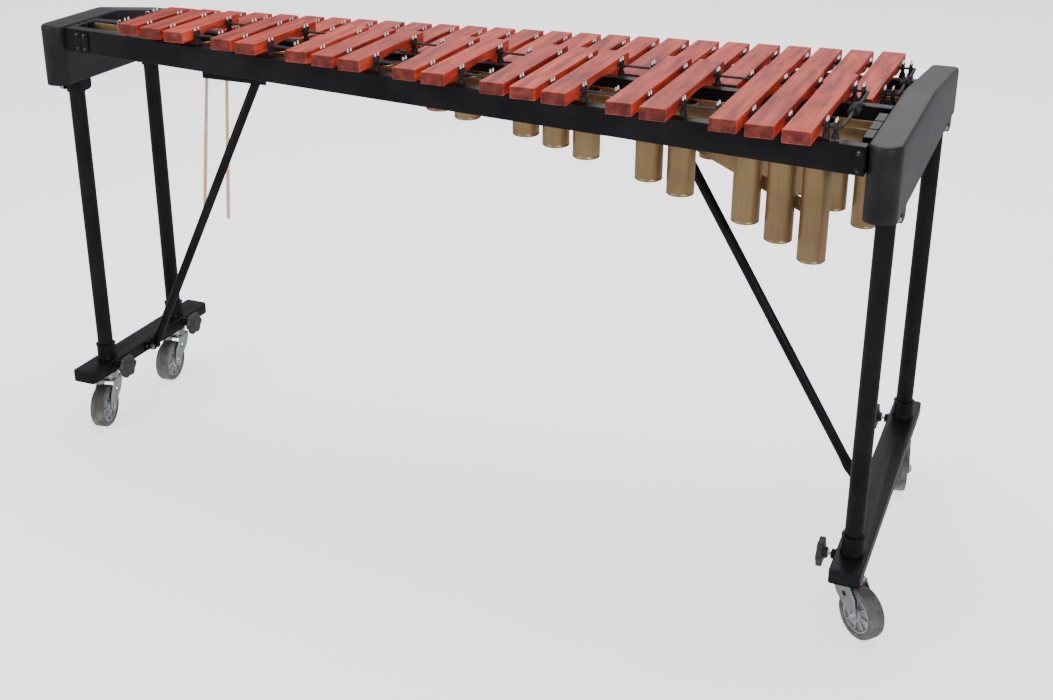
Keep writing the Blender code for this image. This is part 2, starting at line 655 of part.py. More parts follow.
def build_hangers():
    """Three blocks side by side on each end cap, with a step below that the strips rest on."""
    for row in ("natural", "accidental"):
        top = resonator_top(row)
        for name, end in ENDS.items():
            side = end["side"]
            half = end["hanger"]
            face = inner_face(end, CAP_WIDTH)
            y = line_y(RESONATOR_LINES[row], face)
            step = top - STRIP_HEIGHT - TOUCH_GAP
            x0, x1 = sorted((face, face - side * HANGER_STEP))
            low = bmesh.new()
            add_box(low, (x0, y - half, step - 0.012), (x1, y + half, step))
            hanger = part(row + "_hanger_" + name, low, "black_plastic")
            blocks = bmesh.new()
            x0, x1 = sorted((face, face - side * HANGER_BLOCK))
            width = (2 * half - 2 * HANGER_GAP) / 3
            for count in range(3):
                start = y - half + count * (width + HANGER_GAP)
                add_box(blocks, (x0, start, step - 0.002), (x1, start + width, top + 0.002))
            combine(hanger, "UNION", blocks)


# ---- mallets --------------------------------------------------------------------------------
def build_mallets():
    """Two beaters hanging by their heads in a bracket behind the treble end."""
    plate = bmesh.new()
    x0, x1 = -0.618, -0.527
    behind_rail = line_y(NATURAL_FAR_POSTS, x1) + RAIL_WIDTH / 2 + TOUCH_GAP
    add_box(plate, (x0, behind_rail + 0.0005, HOLDER_Z), (x1, MALLET_Y + 0.016, HOLDER_Z + 0.003))
    holder = part("mallet_holder", plate, "black_frame")
    flange = bmesh.new()
    add_box(flange, (x0, behind_rail, HOLDER_Z), (x1, behind_rail + 0.003, HOLDER_Z + 0.035))
    combine(holder, "UNION", flange)
    holes = bmesh.new()
    for x, lean in MALLETS.values():
        add_cylinder(holes, (x, MALLET_Y, HOLDER_Z - 0.02), (x, MALLET_Y, HOLDER_Z + 0.02), 0.0065, sides=16)
    combine(holder, "DIFFERENCE", holes)
    for name, (x, lean) in MALLETS.items():
        seat = Vector((x, MALLET_Y, HOLDER_Z + 0.003))
        up = Vector((lean, 0.0, 1.0)).normalized()
        centre = seat + up * (HEAD_RADIUS + 0.0025)
        head = bmesh.new()
        bmesh.ops.create_uvsphere(head, u_segments=12, v_segments=8, radius=HEAD_RADIUS,
                                  matrix=Matrix.Translation(centre))
        mallet = part(name, head, "light_wood", seat)
        stick = bmesh.new()
        add_cylinder(stick, seat - up * STICK_LENGTH, centre, STICK_RADIUS, sides=12)
        combine(mallet, "UNION", stick)
        smooth(mallet)


# ---- the whole instrument -------------------------------------------------------------------
build_bar_groups()
build_rail("front_rail", ACCIDENTAL_NEAR_POSTS, ACCIDENTAL_TOP, True)
build_rail("accidental_inner_rail", ACCIDENTAL_FAR_POSTS, ACCIDENTAL_TOP, True)
build_rail("natural_inner_rail", NATURAL_NEAR_POSTS, NATURAL_TOP, False)
build_rail("back_rail", NATURAL_FAR_POSTS, NATURAL_TOP, False)
build_rail_plates()
for end_name, end_sizes in ENDS.items():
    build_end_cap(end_name, end_sizes)
    build_end_member(end_name, end_sizes)
    build_legs(end_name, end_sizes)
    build_beam(end_name, end_sizes)
    build_knobs(end_name, end_sizes)
    build_brace(end_name, end_sizes)
for caster_name, (end_name, leg_index, trail_angle) in CASTERS.items():
    build_caster(caster_name, ENDS[end_name], leg_index, trail_angle)
for row_name in ("natural", "accidental"):
    build_resonators(row_name)
build_stiffener()
build_hangers()
build_mallets()

# Everything stands on an empty, set so that the origin lies under the middle of the whole footprint.
footprint = bpy.data.objects.new("footprint", None)
PARTS.objects.link(footprint)
for piece in list(PARTS.objects) + list(CUTTERS.objects):
    if piece is not footprint:
        piece.parent = footprint
footprint.location = (-MIDDLE_X, -MIDDLE_Y, 0.0)
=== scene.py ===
from math import atan, atan2, copysign, cos, hypot, pi, radians, sin

import bmesh
import bpy
from mathutils import Matrix, Vector


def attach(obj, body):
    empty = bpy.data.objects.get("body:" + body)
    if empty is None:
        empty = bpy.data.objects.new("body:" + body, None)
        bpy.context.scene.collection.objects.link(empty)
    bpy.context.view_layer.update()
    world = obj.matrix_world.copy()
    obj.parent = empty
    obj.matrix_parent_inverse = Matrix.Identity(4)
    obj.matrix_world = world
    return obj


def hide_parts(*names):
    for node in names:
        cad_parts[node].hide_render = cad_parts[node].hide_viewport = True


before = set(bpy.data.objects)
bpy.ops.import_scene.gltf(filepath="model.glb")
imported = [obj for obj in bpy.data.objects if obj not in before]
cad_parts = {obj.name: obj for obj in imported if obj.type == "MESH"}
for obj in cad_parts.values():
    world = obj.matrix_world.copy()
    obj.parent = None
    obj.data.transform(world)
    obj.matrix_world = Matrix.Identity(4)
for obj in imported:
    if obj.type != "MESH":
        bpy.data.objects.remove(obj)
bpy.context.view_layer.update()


# ---- BARS -----------------------------------------------------------------------------------
# Padauk bars in two rows, each drilled crosswise at its two still points and hollowed in an arch
# underneath to tune it. The blank is planed square, its long edges eased, then lacquered satin.
PITCH = 0.050
F4_X = 0.638
BAR_WIDTH = 0.038
BAR_THICKNESS = 0.018
BAR_EDGE = 0.0016
ARCH_DEPTH = 0.007
ARCH_START = 0.27              # of the bar's length, from either end
CORD_HOLE_RADIUS = 0.0031
KEYBOARD = Vector((-0.0152, 0.0263, 0.0))   # middle of the keyboard in the shared frame
ACCIDENTAL_STEPS = (0, 1, 2, 4, 5)
GROUPS = {"f4_b4": (0, 4), "c5_e5": (4, 7), "f5_b5": (7, 11), "c6_e6": (11, 14),
          "f6_b6": (14, 18), "c7_e7": (18, 21), "f7_c8": (21, 26)}
ROWS = {
    "naturals": {"top": 0.7695, "near": (-0.057, 0.0), "far": (0.16675, 0.13472),
                 "near_posts": (-0.0068, 0.0302), "far_posts": (0.1165, 0.1043)},
    "accidentals": {"top": 0.800, "near": (-0.2701, -0.15104), "far": (-0.040, 0.0),
                    "near_posts": (-0.2201, -0.1142), "far_posts": (-0.0872, -0.0192)},
}


def line_y(line, x):
    return line[0] + line[1] * x


def new_material(name, colour, roughness, metallic=0.0, specular=0.5):
    """A Principled material, its single values set on the shader's own sockets."""
    material = bpy.data.materials.new(name)
    material.use_nodes = True
    sockets = material.node_tree.nodes["Principled BSDF"].inputs
    sockets["Base Color"].default_value = (*colour, 1.0)
    sockets["Roughness"].default_value = roughness
    sockets["Metallic"].default_value = metallic
    sockets["Specular IOR Level"].default_value = specular
    return material


def noise(material, scale, stretch=(1.0, 1.0, 1.0), detail=4.0):
    """A noise pattern on Object coordinates, stretched along the grain; returns its value socket."""
    nodes, links = material.node_tree.nodes, material.node_tree.links
    place = nodes.new("ShaderNodeTexCoord")
    mapping = nodes.new("ShaderNodeMapping")
    mapping.inputs["Scale"].default_value = stretch
    pattern = nodes.new("ShaderNodeTexNoise")
    for label, value in (("Scale", scale), ("Detail", detail), ("Roughness", 0.6)):
        pattern.inputs[label].default_value = value
    links.new(place.outputs["Object"], mapping.inputs["Vector"])
    links.new(mapping.outputs["Vector"], pattern.inputs["Vector"])
    return pattern.outputs["Fac"]


def ramp(material, value, stops):
    """Colours along a value: stops are (position, colour)."""
    node = material.node_tree.nodes.new("ShaderNodeValToRGB")
    elements = node.color_ramp.elements
    while len(elements) < len(stops):
        elements.new(0.5)
    for element, (position, colour) in zip(elements, stops):
        element.position = position
        element.color = (*colour, 1.0)
    material.node_tree.links.new(value, node.inputs["Fac"])
    return node.outputs["Color"]


def spread(material, value, low, high):
    """A value between 0 and 1 remapped to low and high, for roughness."""
    node = material.node_tree.nodes.new("ShaderNodeMapRange")
    node.inputs["To Min"].default_value = low
    node.inputs["To Max"].default_value = high
    material.node_tree.links.new(value, node.inputs["Value"])
    return node.outputs["Result"]


def multiply(material, amount, first, second):
    """One colour socket multiplied by another, by an amount."""
    node = material.node_tree.nodes.new("ShaderNodeMix")
    node.data_type = "RGBA"
    node.blend_type = "MULTIPLY"
    node.inputs[0].default_value = amount
    colours = [socket for socket in node.inputs if socket.type == "RGBA"]
    for socket, source in zip(colours, (first, second)):
        material.node_tree.links.new(source, socket)
    return [socket for socket in node.outputs if socket.type == "RGBA"][0]


def feed(material, socket_name, source):
    shader = material.node_tree.nodes["Principled BSDF"]
    material.node_tree.links.new(source, shader.inputs[socket_name])


def bump(material, height, distance):
    node = material.node_tree.nodes.new("ShaderNodeBump")
    node.inputs["Strength"].default_value = 1.0
    node.inputs["Distance"].default_value = distance
    material.node_tree.links.new(height, node.inputs["Height"])
    feed(material, "Normal", node.outputs["Normal"])


def padauk(name, dark, main, light, roughness):
    """Grain runs along the bar; the tone attribute makes every bar its own piece of wood."""
    material = new_material(name, main, roughness, specular=0.22)
    figure = noise(material, 9.0, (9.0, 0.9, 9.0), detail=5.0)
    pores = noise(material, 60.0, (14.0, 0.8, 14.0), detail=2.0)
    grain = ramp(material, figure, ((0.32, dark), (0.50, main), (0.68, light)))
    filled = ramp(material, pores, ((0.36, (0.35, 0.25, 0.22)), (0.52, (1.0, 1.0, 1.0))))
    tone = material.node_tree.nodes.new("ShaderNodeAttribute")
    tone.attribute_name = "tone"
    pored = multiply(material, 0.35, grain, filled)
    feed(material, "Base Color", multiply(material, 1.0, pored, tone.outputs["Color"]))
    feed(material, "Roughness", spread(material, pores, roughness - 0.06, roughness + 0.10))
    bump(material, pores, 0.00008)
    return material


bar_face = padauk("padauk_face", (0.190, 0.019, 0.011), (0.480, 0.042, 0.021), (0.680, 0.100, 0.044), 0.42)
bar_end = padauk("padauk_end_grain", (0.075, 0.011, 0.008), (0.140, 0.020, 0.014), (0.210, 0.036, 0.024), 0.55)


def piece(name, bm, finishes, body, stands_for=(), edge=0.0, segments=2, smooth=35.0):
    """A finished piece: mesh in place, material, body to move with, and the solids it stands for."""
    bmesh.ops.recalc_face_normals(bm, faces=bm.faces)
    mesh = bpy.data.meshes.new(name)
    bm.to_mesh(mesh)
    bm.free()
    mesh.transform(Matrix.Translation(KEYBOARD))
    for finish in finishes if isinstance(finishes, tuple) else (finishes,):
        mesh.materials.append(finish)
    mesh.shade_smooth()
    mesh.set_sharp_from_angle(angle=radians(smooth))
    obj = bpy.data.objects.new(name, mesh)
    bpy.context.scene.collection.objects.link(obj)
    if edge:
        bevel = obj.modifiers.new("Eased edges", "BEVEL")
        bevel.width = edge
        bevel.segments = segments
        bevel.limit_method = "ANGLE"
        bevel.angle_limit = radians(40)
        bevel.harden_normals = True
    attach(obj, body)
    if stands_for:
        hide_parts(*stands_for)
    return obj


def add_flat(bm, outlines, thickness, place, edge=0.0, steps=2):
    """Flat outlines, holes inside the first, extruded about their plane with eased edges."""
    curve = bpy.data.curves.new("flat", "CURVE")
    curve.dimensions = "2D"
    curve.fill_mode = "BOTH"
    curve.extrude = thickness / 2 - edge
    curve.bevel_depth = edge
    curve.offset = -edge
    curve.bevel_resolution = steps
    for outline in outlines:
        spline = curve.splines.new("POLY")
        spline.points.add(len(outline) - 1)
        for point, (across, up) in zip(spline.points, outline):
            point.co = (across, up, 0.0, 1.0)
        spline.use_cyclic_u = True
    holder = bpy.data.objects.new("flat", curve)
    bpy.context.scene.collection.objects.link(holder)
    mesh = bpy.data.meshes.new_from_object(holder.evaluated_get(bpy.context.evaluated_depsgraph_get()))
    bpy.data.objects.remove(holder, do_unlink=True)
    mesh.transform(place)
    first = len(bm.verts)
    bm.from_mesh(mesh)
    bpy.data.meshes.remove(mesh)
    bm.verts.ensure_lookup_table()
    bmesh.ops.remove_doubles(bm, verts=bm.verts[first:], dist=0.00001)


def arc(centre, radius, start, stop, steps):
    """Points on an arc, with its angles in degrees."""
    angles = [radians(start + (stop - start) * k / steps) for k in range(steps + 1)]
    return [(centre[0] + radius * cos(a), centre[1] + radius * sin(a)) for a in angles]


def rounded(x0, y0, x1, y1, radius, steps=4):
    """A rectangle with rounded corners."""
    corners = ((x1 - radius, y1 - radius), (x0 + radius, y1 - radius),
               (x0 + radius, y0 + radius), (x1 - radius, y0 + radius))
    return [point for k, corner in enumerate(corners)
            for point in arc(corner, radius, 90 * k, 90 * k + 90, steps)]


def at(x, y, z):
    return Matrix.Translation((x, y, z))


# An outline's local X, Y and Z laid across the instrument, and laid along it.
ACROSS = Matrix(((0, 0, 1, 0), (1, 0, 0, 0), (0, 1, 0, 0), (0, 0, 0, 1)))
ALONG = Matrix(((1, 0, 0, 0), (0, 0, -1, 0), (0, 1, 0, 0), (0, 0, 0, 1)))


def bar_x(step):
    return F4_X - PITCH * step


def row_steps(row, first, last):
    if row == "naturals":
        return [float(step) for step in range(first, last)]
    return [step + 0.5 for step in range(first, min(last, 25)) if step % 7 in ACCIDENTAL_STEPS]


for row_name, row in ROWS.items():
    for group, (first, last) in GROUPS.items():
        bars = bmesh.new()
        tone_layer = bars.verts.layers.float_color.new("tone")
        for step in row_steps(row_name, first, last):
            x = bar_x(step)
            y0, y1 = line_y(row["near"], x), line_y(row["far"], x)
            top, bottom = row["top"], row["top"] - BAR_THICKNESS
            outline = rounded(y0, bottom, y1, top, BAR_EDGE, 3)
            outline[12:12] = [(y0 + (ARCH_START + (1 - 2 * ARCH_START) * k / 18) * (y1 - y0),
                               bottom + ARCH_DEPTH * sin(pi * k / 18) ** 0.8) for k in range(19)]
            middle = top - BAR_THICKNESS / 2
            holes = [arc((line_y(row[posts], x), middle), CORD_HOLE_RADIUS, 0, 330, 11)
                     for posts in ("near_posts", "far_posts")]
            start = len(bars.verts)
            add_flat(bars, [outline] + holes, BAR_WIDTH, at(x, 0, 0) @ ACROSS, 0.0013)
            wave = sin(step * 2.4 + (1.3 if row_name == "naturals" else 0.0))
            light = 0.90 + 0.11 * wave + 0.05 * sin(step * 7.7)
            bars.verts.ensure_lookup_table()
            for vert in bars.verts[start:]:
                vert[tone_layer] = (light, light * (0.98 + 0.07 * sin(step * 3.1)), light, 1.0)
        bars.faces.ensure_lookup_table()
        bars.normal_update()
        for face in bars.faces:
            if abs(face.normal.y) > 0.9:
                face.material_index = 1
        made = piece(f"{row_name}_{group}_bars", bars, (bar_face, bar_end), "frame",
                     (f"{row_name}_{group}",), smooth=30.0)
        made.modifiers.new("Even shading", "WEIGHTED_NORMAL").keep_sharp = True


# ---- SUSPENSION CORDS -----------------------------------------------------------------------
# One braided cord threads each row, out along one line of holes and back along the other, and is
# knotted where it crosses at the bass end. At the treble end chrome hooks hold its looped ends.
CORD_RADIUS = 0.0019
CROSSING_RADIUS = 0.0025
TANGLE_RADIUS = 0.0018
LOOP_WIRE = 0.0014
LOOP_RADIUS = 0.0042
FAST_POST = 0.24               # of a step, from the first post to the one the cord turns round
CORD_END = {"naturals": -0.6455, "accidentals": -0.5705}
HOOK_WIRE = 0.0010
HOOK_DROP = 0.018
HOOK_RADIUS = 0.0042


def speckled(name, pattern, stops, roughness, metallic=0.0, specular=0.5, stretch=(1.0, 1.0, 1.0), grain=None):
    """A material whose colour, and roughness if it is a pair, follow one noise pattern given as scale
    and detail; grain is the scale, detail and depth of a fine relief."""
    uneven = isinstance(roughness, tuple)
    material = new_material(name, stops[0][1], roughness[0] if uneven else roughness, metallic, specular)
    value = noise(material, pattern[0], stretch, pattern[1])
    feed(material, "Base Color", ramp(material, value, stops))
    if uneven:
        feed(material, "Roughness", spread(material, value, *roughness))
    if grain:
        bump(material, noise(material, grain[0], detail=grain[1]), grain[2])
    return material


def bridge(bm, rings, closed=False):
    """Faces between rings of corners; a ring may be a single point."""
    pairs = list(zip(rings, rings[1:]))
    if closed:
        pairs.append((rings[-1], rings[0]))
    for low, high in pairs:
        count = max(len(low), len(high))
        for k in range(count):
            n = (k + 1) % count
            corners = (low[k % len(low)], low[n % len(low)], high[n % len(high)], high[k % len(high)])
            unique = list(dict.fromkeys(corners))
            if len(unique) > 2:
                bm.faces.new(unique)


def add_wire(bm, path, radius, sides=8, closed=False):
    """A round wire along a path of points, its ring of corners carried along without twisting."""
    points = [Vector(point) for point in path]
    count = len(points)
    up = Vector((0.0, 0.0, 1.0))
    if abs((points[1] - points[0]).normalized().dot(up)) > 0.9:
        up = Vector((1.0, 0.0, 0.0))
    rings = []
    for k, point in enumerate(points):
        before = points[k - 1] if k or closed else point
        after = points[(k + 1) % count] if k < count - 1 or closed else point
        ahead = (after - before).normalized()
        side = ahead.cross(up).normalized()
        up = side.cross(ahead).normalized()
        angles = [2 * pi * turn / sides for turn in range(sides)]
        rings.append([bm.verts.new(point + radius * (cos(a) * side + sin(a) * up)) for a in angles])
    bridge(bm, rings, closed)
    if not closed:
        bm.faces.new(list(reversed(rings[0])))
        bm.faces.new(rings[-1])


cord_braid = speckled("braided_cord", (900.0, 1.0), ((0.4, (0.006, 0.006, 0.006)), (0.6, (0.034, 0.032, 0.030))),
                      0.75, grain=(900.0, 1.0, 0.0002))
bright_steel = speckled("bright_steel", (90.0, 3.0), ((0.35, (0.58, 0.59, 0.59)), (0.65, (0.76, 0.77, 0.76))),
                        (0.14, 0.30), metallic=1.0)

cords = bmesh.new()
hooks = bmesh.new()
for row_name, row in ROWS.items():
    z = row["top"] - BAR_THICKNESS / 2
    cord_end = CORD_END[row_name]
    near, far = row["near_posts"], row["far_posts"]
    turn_x = F4_X + PITCH * (FAST_POST + (0.5 if row["top"] < 0.78 else 0.0)) + 0.006
    for line, way in ((near, 1), (far, -1)):
        run = [(x, line_y(line, x), z) for x in (cord_end, -0.3, 0.0, 0.3, turn_x - 0.006)]
        bend = arc((turn_x - 0.004, line_y(line, turn_x) + way * 0.004), 0.004, -80 * way, 0, 4)
        add_wire(cords, run + [(x, y, z) for x, y in bend], CORD_RADIUS)
    y0, y1 = line_y(near, turn_x) + 0.003, line_y(far, turn_x) - 0.003
    crossing = [(turn_x + 0.0010 * sin(9.0 * k / 24), y0 + (y1 - y0) * k / 24,
                 z - 0.0025 * sin(pi * k / 24)) for k in range(25)]
    add_wire(cords, crossing, CROSSING_RADIUS, sides=10)
    tangle = []
    for k in range(41):
        angle = 2 * pi * k / 10
        reach = 0.0058 + 0.0016 * sin(2.3 * angle)
        y = (y0 + y1) / 2 + 0.022 * (k / 40 - 0.5) + 0.003 * sin(1.7 * angle)
        tangle.append((turn_x + reach * cos(angle), y, z - 0.001 + reach * sin(angle)))
    add_wire(cords, tangle, TANGLE_RADIUS)
    for line in (near, far):
        slope = Vector((1.0, line[1], 0.0)).normalized()
        knot = Vector((cord_end, line_y(line, cord_end), z))
        loop = [knot + slope * (across - 0.003) + Vector((0, 0, rise))
                for across, rise in arc((0, 0), LOOP_RADIUS, 0, 330, 11)]
        add_wire(cords, loop, LOOP_WIRE, sides=6, closed=True)
        add_wire(hooks, [knot + slope * 0.0015, knot + slope * 0.0045], CORD_RADIUS + 0.0008, sides=12)
        bend = [knot + slope * across + Vector((0, 0, rise))
                for across, rise in arc((-0.0082, 0.0012), HOOK_RADIUS, -60, 180, 12)]
        foot = knot - slope * (0.0082 + HOOK_RADIUS)
        add_wire(hooks, bend + [foot - Vector((0, 0, HOOK_DROP))], HOOK_WIRE)
piece("suspension_cords", cords, cord_braid, "frame", smooth=60.0)
piece("cord_hooks", hooks, bright_steel, "frame", smooth=60.0)


# ---- RAILS ----------------------------------------------------------------------------------
# Four steel box rails run from cap to cap, fanned to follow the bars. They are folded, welded and
# powder coated satin black.
RAIL_WIDTH = 0.020
RAIL_HEIGHT = 0.040
RAIL_TO_BAR = 0.009
RAIL_ENDS = (-0.7002, 0.6932)
RAILS = {"front_rail": ("accidentals", "near_posts"), "accidental_inner_rail": ("accidentals", "far_posts"),
         "natural_inner_rail": ("naturals", "near_posts"), "back_rail": ("naturals", "far_posts")}

powder_black = speckled("black_powder_coat", (14.0, 5.0), ((0.35, (0.004, 0.004, 0.005)), (0.7, (0.009, 0.009, 0.010))),
                        (0.26, 0.42), specular=0.16, grain=(420.0, 2.0, 0.00006))


def rail_top(row_name):
    return ROWS[row_name]["top"] - BAR_THICKNESS - RAIL_TO_BAR


def lean_plan(line, half_width, ends):
    """Plan of a straight piece along a slanting line: a parallelogram."""
    corners = ((ends[0], -half_width), (ends[1], -half_width), (ends[1], half_width), (ends[0], half_width))
    return [(x, line_y(line, x) + offset) for x, offset in corners]


for rail, (row_name, posts) in RAILS.items():
    line = ROWS[row_name][posts]
    top = rail_top(row_name)
    tube = bmesh.new()
    add_flat(tube, [lean_plan(line, RAIL_WIDTH / 2, RAIL_ENDS)], RAIL_HEIGHT,
             at(0, 0, top - RAIL_HEIGHT / 2))
    piece(rail + "_tube", tube, powder_black, "frame", (rail,), edge=0.0016, segments=3)


# ---- CORD POSTS -----------------------------------------------------------------------------
# Between each pair of bars a forked post carries the cord: its stem and prongs are sleeved in
# black, and only the tips of the two prongs are bare chrome. A tapered bush holds it in the rail.
FORK_REACH = 0.0056
PRONG_THICKNESS = 0.0019
POST_WIDTH = 0.0046
FORK_SEAT = 0.0143             # heights above the rail
FORK_TIP = 0.0245
STEM_RADIUS = 0.0030
TIP_RADIUS = 0.0021
TIP_HEIGHT = 0.0042
BUSH_RADIUS = 0.0056
BUSH_HEIGHT = 0.0075

soft_black = speckled("black_rubber", (55.0, 4.0), ((0.4, (0.008, 0.008, 0.009)), (0.7, (0.022, 0.022, 0.022))),
                      (0.50, 0.75))


def repeat_tree(name, finish, parts, facing=False):
    """A node tree that puts parts on every point, turned to the point's facing if asked. A part is its
    offset and its size: three sides of a block, or bottom radius, top radius, depth and sides of a cone."""
    tree = bpy.data.node_groups.new(name, "GeometryNodeTree")
    for label, way in (("Points", "INPUT"), ("Geometry", "OUTPUT")):
        tree.interface.new_socket(label, in_out=way, socket_type="NodeSocketGeometry")
    nodes, links = tree.nodes, tree.links
    join = nodes.new("GeometryNodeJoinGeometry")
    for offset, size in parts:
        shape = nodes.new("GeometryNodeMeshCube" if len(size) == 3 else "GeometryNodeMeshCone")
        if len(size) == 3:
            shape.inputs["Size"].default_value = size
        else:
            for label, value in zip(("Radius Bottom", "Radius Top", "Depth", "Vertices"), size):
                shape.inputs[label].default_value = value
        move = nodes.new("GeometryNodeTransform")
        move.inputs["Translation"].default_value = offset
        links.new(shape.outputs["Mesh"], move.inputs["Geometry"])
        links.new(move.outputs["Geometry"], join.inputs["Geometry"])
    place = nodes.new("GeometryNodeInstanceOnPoints")
    links.new(nodes.new("NodeGroupInput").outputs["Points"], place.inputs["Points"])
    links.new(join.outputs["Geometry"], place.inputs["Instance"])
    if facing:
        way = nodes.new("GeometryNodeInputNamedAttribute")
        way.data_type = "FLOAT_VECTOR"
        way.inputs["Name"].default_value = "facing"
        align = nodes.new("FunctionNodeAlignRotationToVector")
        align.axis = "Z"
        links.new(way.outputs["Attribute"], align.inputs["Vector"])
        links.new(align.outputs["Rotation"], place.inputs["Rotation"])
    real = nodes.new("GeometryNodeRealizeInstances")
    paint = nodes.new("GeometryNodeSetMaterial")
    paint.inputs["Material"].default_value = finish
    links.new(place.outputs["Instances"], real.inputs["Geometry"])
    links.new(real.outputs["Geometry"], paint.inputs["Geometry"])
    links.new(paint.outputs["Geometry"], nodes.new("NodeGroupOutput").inputs["Geometry"])
    return tree


def grown(name, points, tree, body, directions=()):
    """Run a tree on points, keep its result as a plain mesh, and finish it as a piece."""
    seeds = bpy.data.meshes.new(name + "_points")
    seeds.from_pydata([tuple(point) for point in points], [], [])
    if directions:
        facing = seeds.attributes.new("facing", "FLOAT_VECTOR", "POINT")
        for value, direction in zip(facing.data, directions):
            value.vector = direction
    holder = bpy.data.objects.new(name + "_points", seeds)
    bpy.context.scene.collection.objects.link(holder)
    holder.modifiers.new("Repeat", "NODES").node_group = tree
    mesh = bpy.data.meshes.new_from_object(holder.evaluated_get(bpy.context.evaluated_depsgraph_get()))
    finishes = tuple(mesh.materials)
    bpy.data.objects.remove(holder, do_unlink=True)
    shape = bmesh.new()
    shape.from_mesh(mesh)
    bpy.data.meshes.remove(mesh)
    return piece(name, shape, finishes, body)


bush_tree = repeat_tree("post_bushes", soft_black,
                        [((0, 0, 0), (BUSH_RADIUS, 0.80 * BUSH_RADIUS, BUSH_HEIGHT, 14))])
prong_y = FORK_REACH - PRONG_THICKNESS / 2
prongs = [((0, way * prong_y, (FORK_TIP + FORK_SEAT) / 2), (POST_WIDTH, PRONG_THICKNESS, FORK_TIP - FORK_SEAT))
          for way in (-1, 1)]
saddle = ((0, 0, FORK_SEAT), (POST_WIDTH, 2 * FORK_REACH, PRONG_THICKNESS))
stem = ((0, 0, FORK_SEAT / 2), (STEM_RADIUS, STEM_RADIUS, FORK_SEAT, 12))
fork_tree = repeat_tree("cord_forks", soft_black, prongs + [saddle, stem])
tip_tree = repeat_tree("prong_tips", bright_steel, [((0, 0, 0), (TIP_RADIUS, 0.6 * TIP_RADIUS, TIP_HEIGHT, 14))])


def post_places(row_name):
    """Steps of a row's posts: between all its bars, and a second one where the cord turns back."""
    if row_name == "naturals":
        return [-0.5 - FAST_POST] + [step - 0.5 for step in range(27)]
    steps = {-FAST_POST}
    for step in range(25):
        if step % 7 in ACCIDENTAL_STEPS:
            steps.update((step, step + 1))
    return sorted(steps)


for row_name, row in ROWS.items():
    feet = [(bar_x(step), line_y(row[posts], bar_x(step)), rail_top(row_name))
            for posts in ("near_posts", "far_posts") for step in post_places(row_name)]
    bush_feet = [(x, y, z + BUSH_HEIGHT / 2 - 0.001) for x, y, z in feet]
    grown(f"{row_name}_post_bushes", bush_feet, bush_tree, "frame")
    grown(f"{row_name}_cord_forks", feet, fork_tree, "frame")
    tips = [(x, y + way * prong_y, z + FORK_TIP + 0.0017) for x, y, z in feet for way in (-1, 1)]
    grown(f"{row_name}_prong_tips", tips, tip_tree, "frame")


# ---- RAIL END PLATES AND SCREWS -------------------------------------------------------------
# Pressed plates tie the front rail to the caps, each with two pan-head screws; at the treble end a
# second one beside the first splices the rail.
PLATE_SIZE = (0.0145, 0.033, 0.0025)
PLATES = {"left": -0.668, "splice": -0.6525, "right": 0.685}
SCREW_RADIUS = 0.0030
SCREW_HEIGHT = 0.0020

black_steel = speckled("blackened_steel", (120.0, 3.0), ((0.35, (0.07, 0.07, 0.075)), (0.7, (0.15, 0.15, 0.15))),
                       (0.24, 0.42), metallic=1.0)
screw_head = ((0, 0, 0.0011), (SCREW_RADIUS, 0.72 * SCREW_RADIUS, SCREW_HEIGHT, 20))
washer = ((0, 0, 0), (1.25 * SCREW_RADIUS, 1.25 * SCREW_RADIUS, 0.0008, 20))
driver_slot = ((0, 0, 0.62 * SCREW_HEIGHT), (1.1 * SCREW_RADIUS, 0.0008, 0.0005))
screw_tree = repeat_tree("pan_head_screws", black_steel, [screw_head, washer, driver_slot], facing=True)

front_line = ROWS["accidentals"]["near_posts"]
front_normal = Vector((front_line[1], -1.0, 0.0)).normalized()
front_face = (front_line[0] - RAIL_WIDTH / 2 - 0.0003, front_line[1])
plate_z = rail_top("accidentals") - 0.0205
screw_points, screw_ways = [], []
for plate_name, x in PLATES.items():
    turn = Matrix.Rotation(atan(front_line[1]), 4, "Z")
    outward = at(x, line_y(front_face, x), plate_z) @ turn @ ALONG
    half_x, half_z = PLATE_SIZE[0] / 2, PLATE_SIZE[1] / 2
    outline = rounded(-half_x, -half_z, half_x, half_z, 0.003)
    plate = bmesh.new()
    add_flat(plate, [outline], PLATE_SIZE[2], outward @ at(0, 0, PLATE_SIZE[2] / 2), 0.0005)
    stands_for = () if plate_name == "splice" else (f"front_rail_plate_{plate_name}",)
    piece(f"front_rail_plate_{plate_name}_pressed", plate, powder_black, "frame", stands_for)
    for height in (-0.0115, 0.0115):
        screw_points.append(Vector((x, line_y(front_face, x), plate_z + height)) + front_normal * PLATE_SIZE[2])
        screw_ways.append(front_normal)
grown("rail_plate_screws", screw_points, screw_tree, "frame", screw_ways)


# ---- END CAPS -------------------------------------------------------------------------------
# Moulded covers over the rail ends, level in front and falling away behind, open underneath.
# Fine-textured black plastic.
CAP_WIDTH = 0.046
CAP_BOTTOM = 0.672
CAP_TOP = 0.777
CAP_BACK_TOP = 0.745
CAP_WALL = 0.004
CAP_ROUND = 0.006
CAP_FOLD = 0.003
ENDS = {
    "left": {"side": -1, "x": -0.7235, "cap": (-0.168, 0.166), "beam": (-0.180, 0.190), "legs": (-0.107, 0.110),
             "brace_y": -0.010, "top_x": -0.405, "hanger": 0.0225},
    "right": {"side": 1, "x": 0.7165, "cap": (-0.315, 0.298), "beam": (-0.290, 0.310), "legs": (-0.228, 0.243),
              "brace_y": 0.006, "top_x": 0.334, "hanger": 0.0630},
}

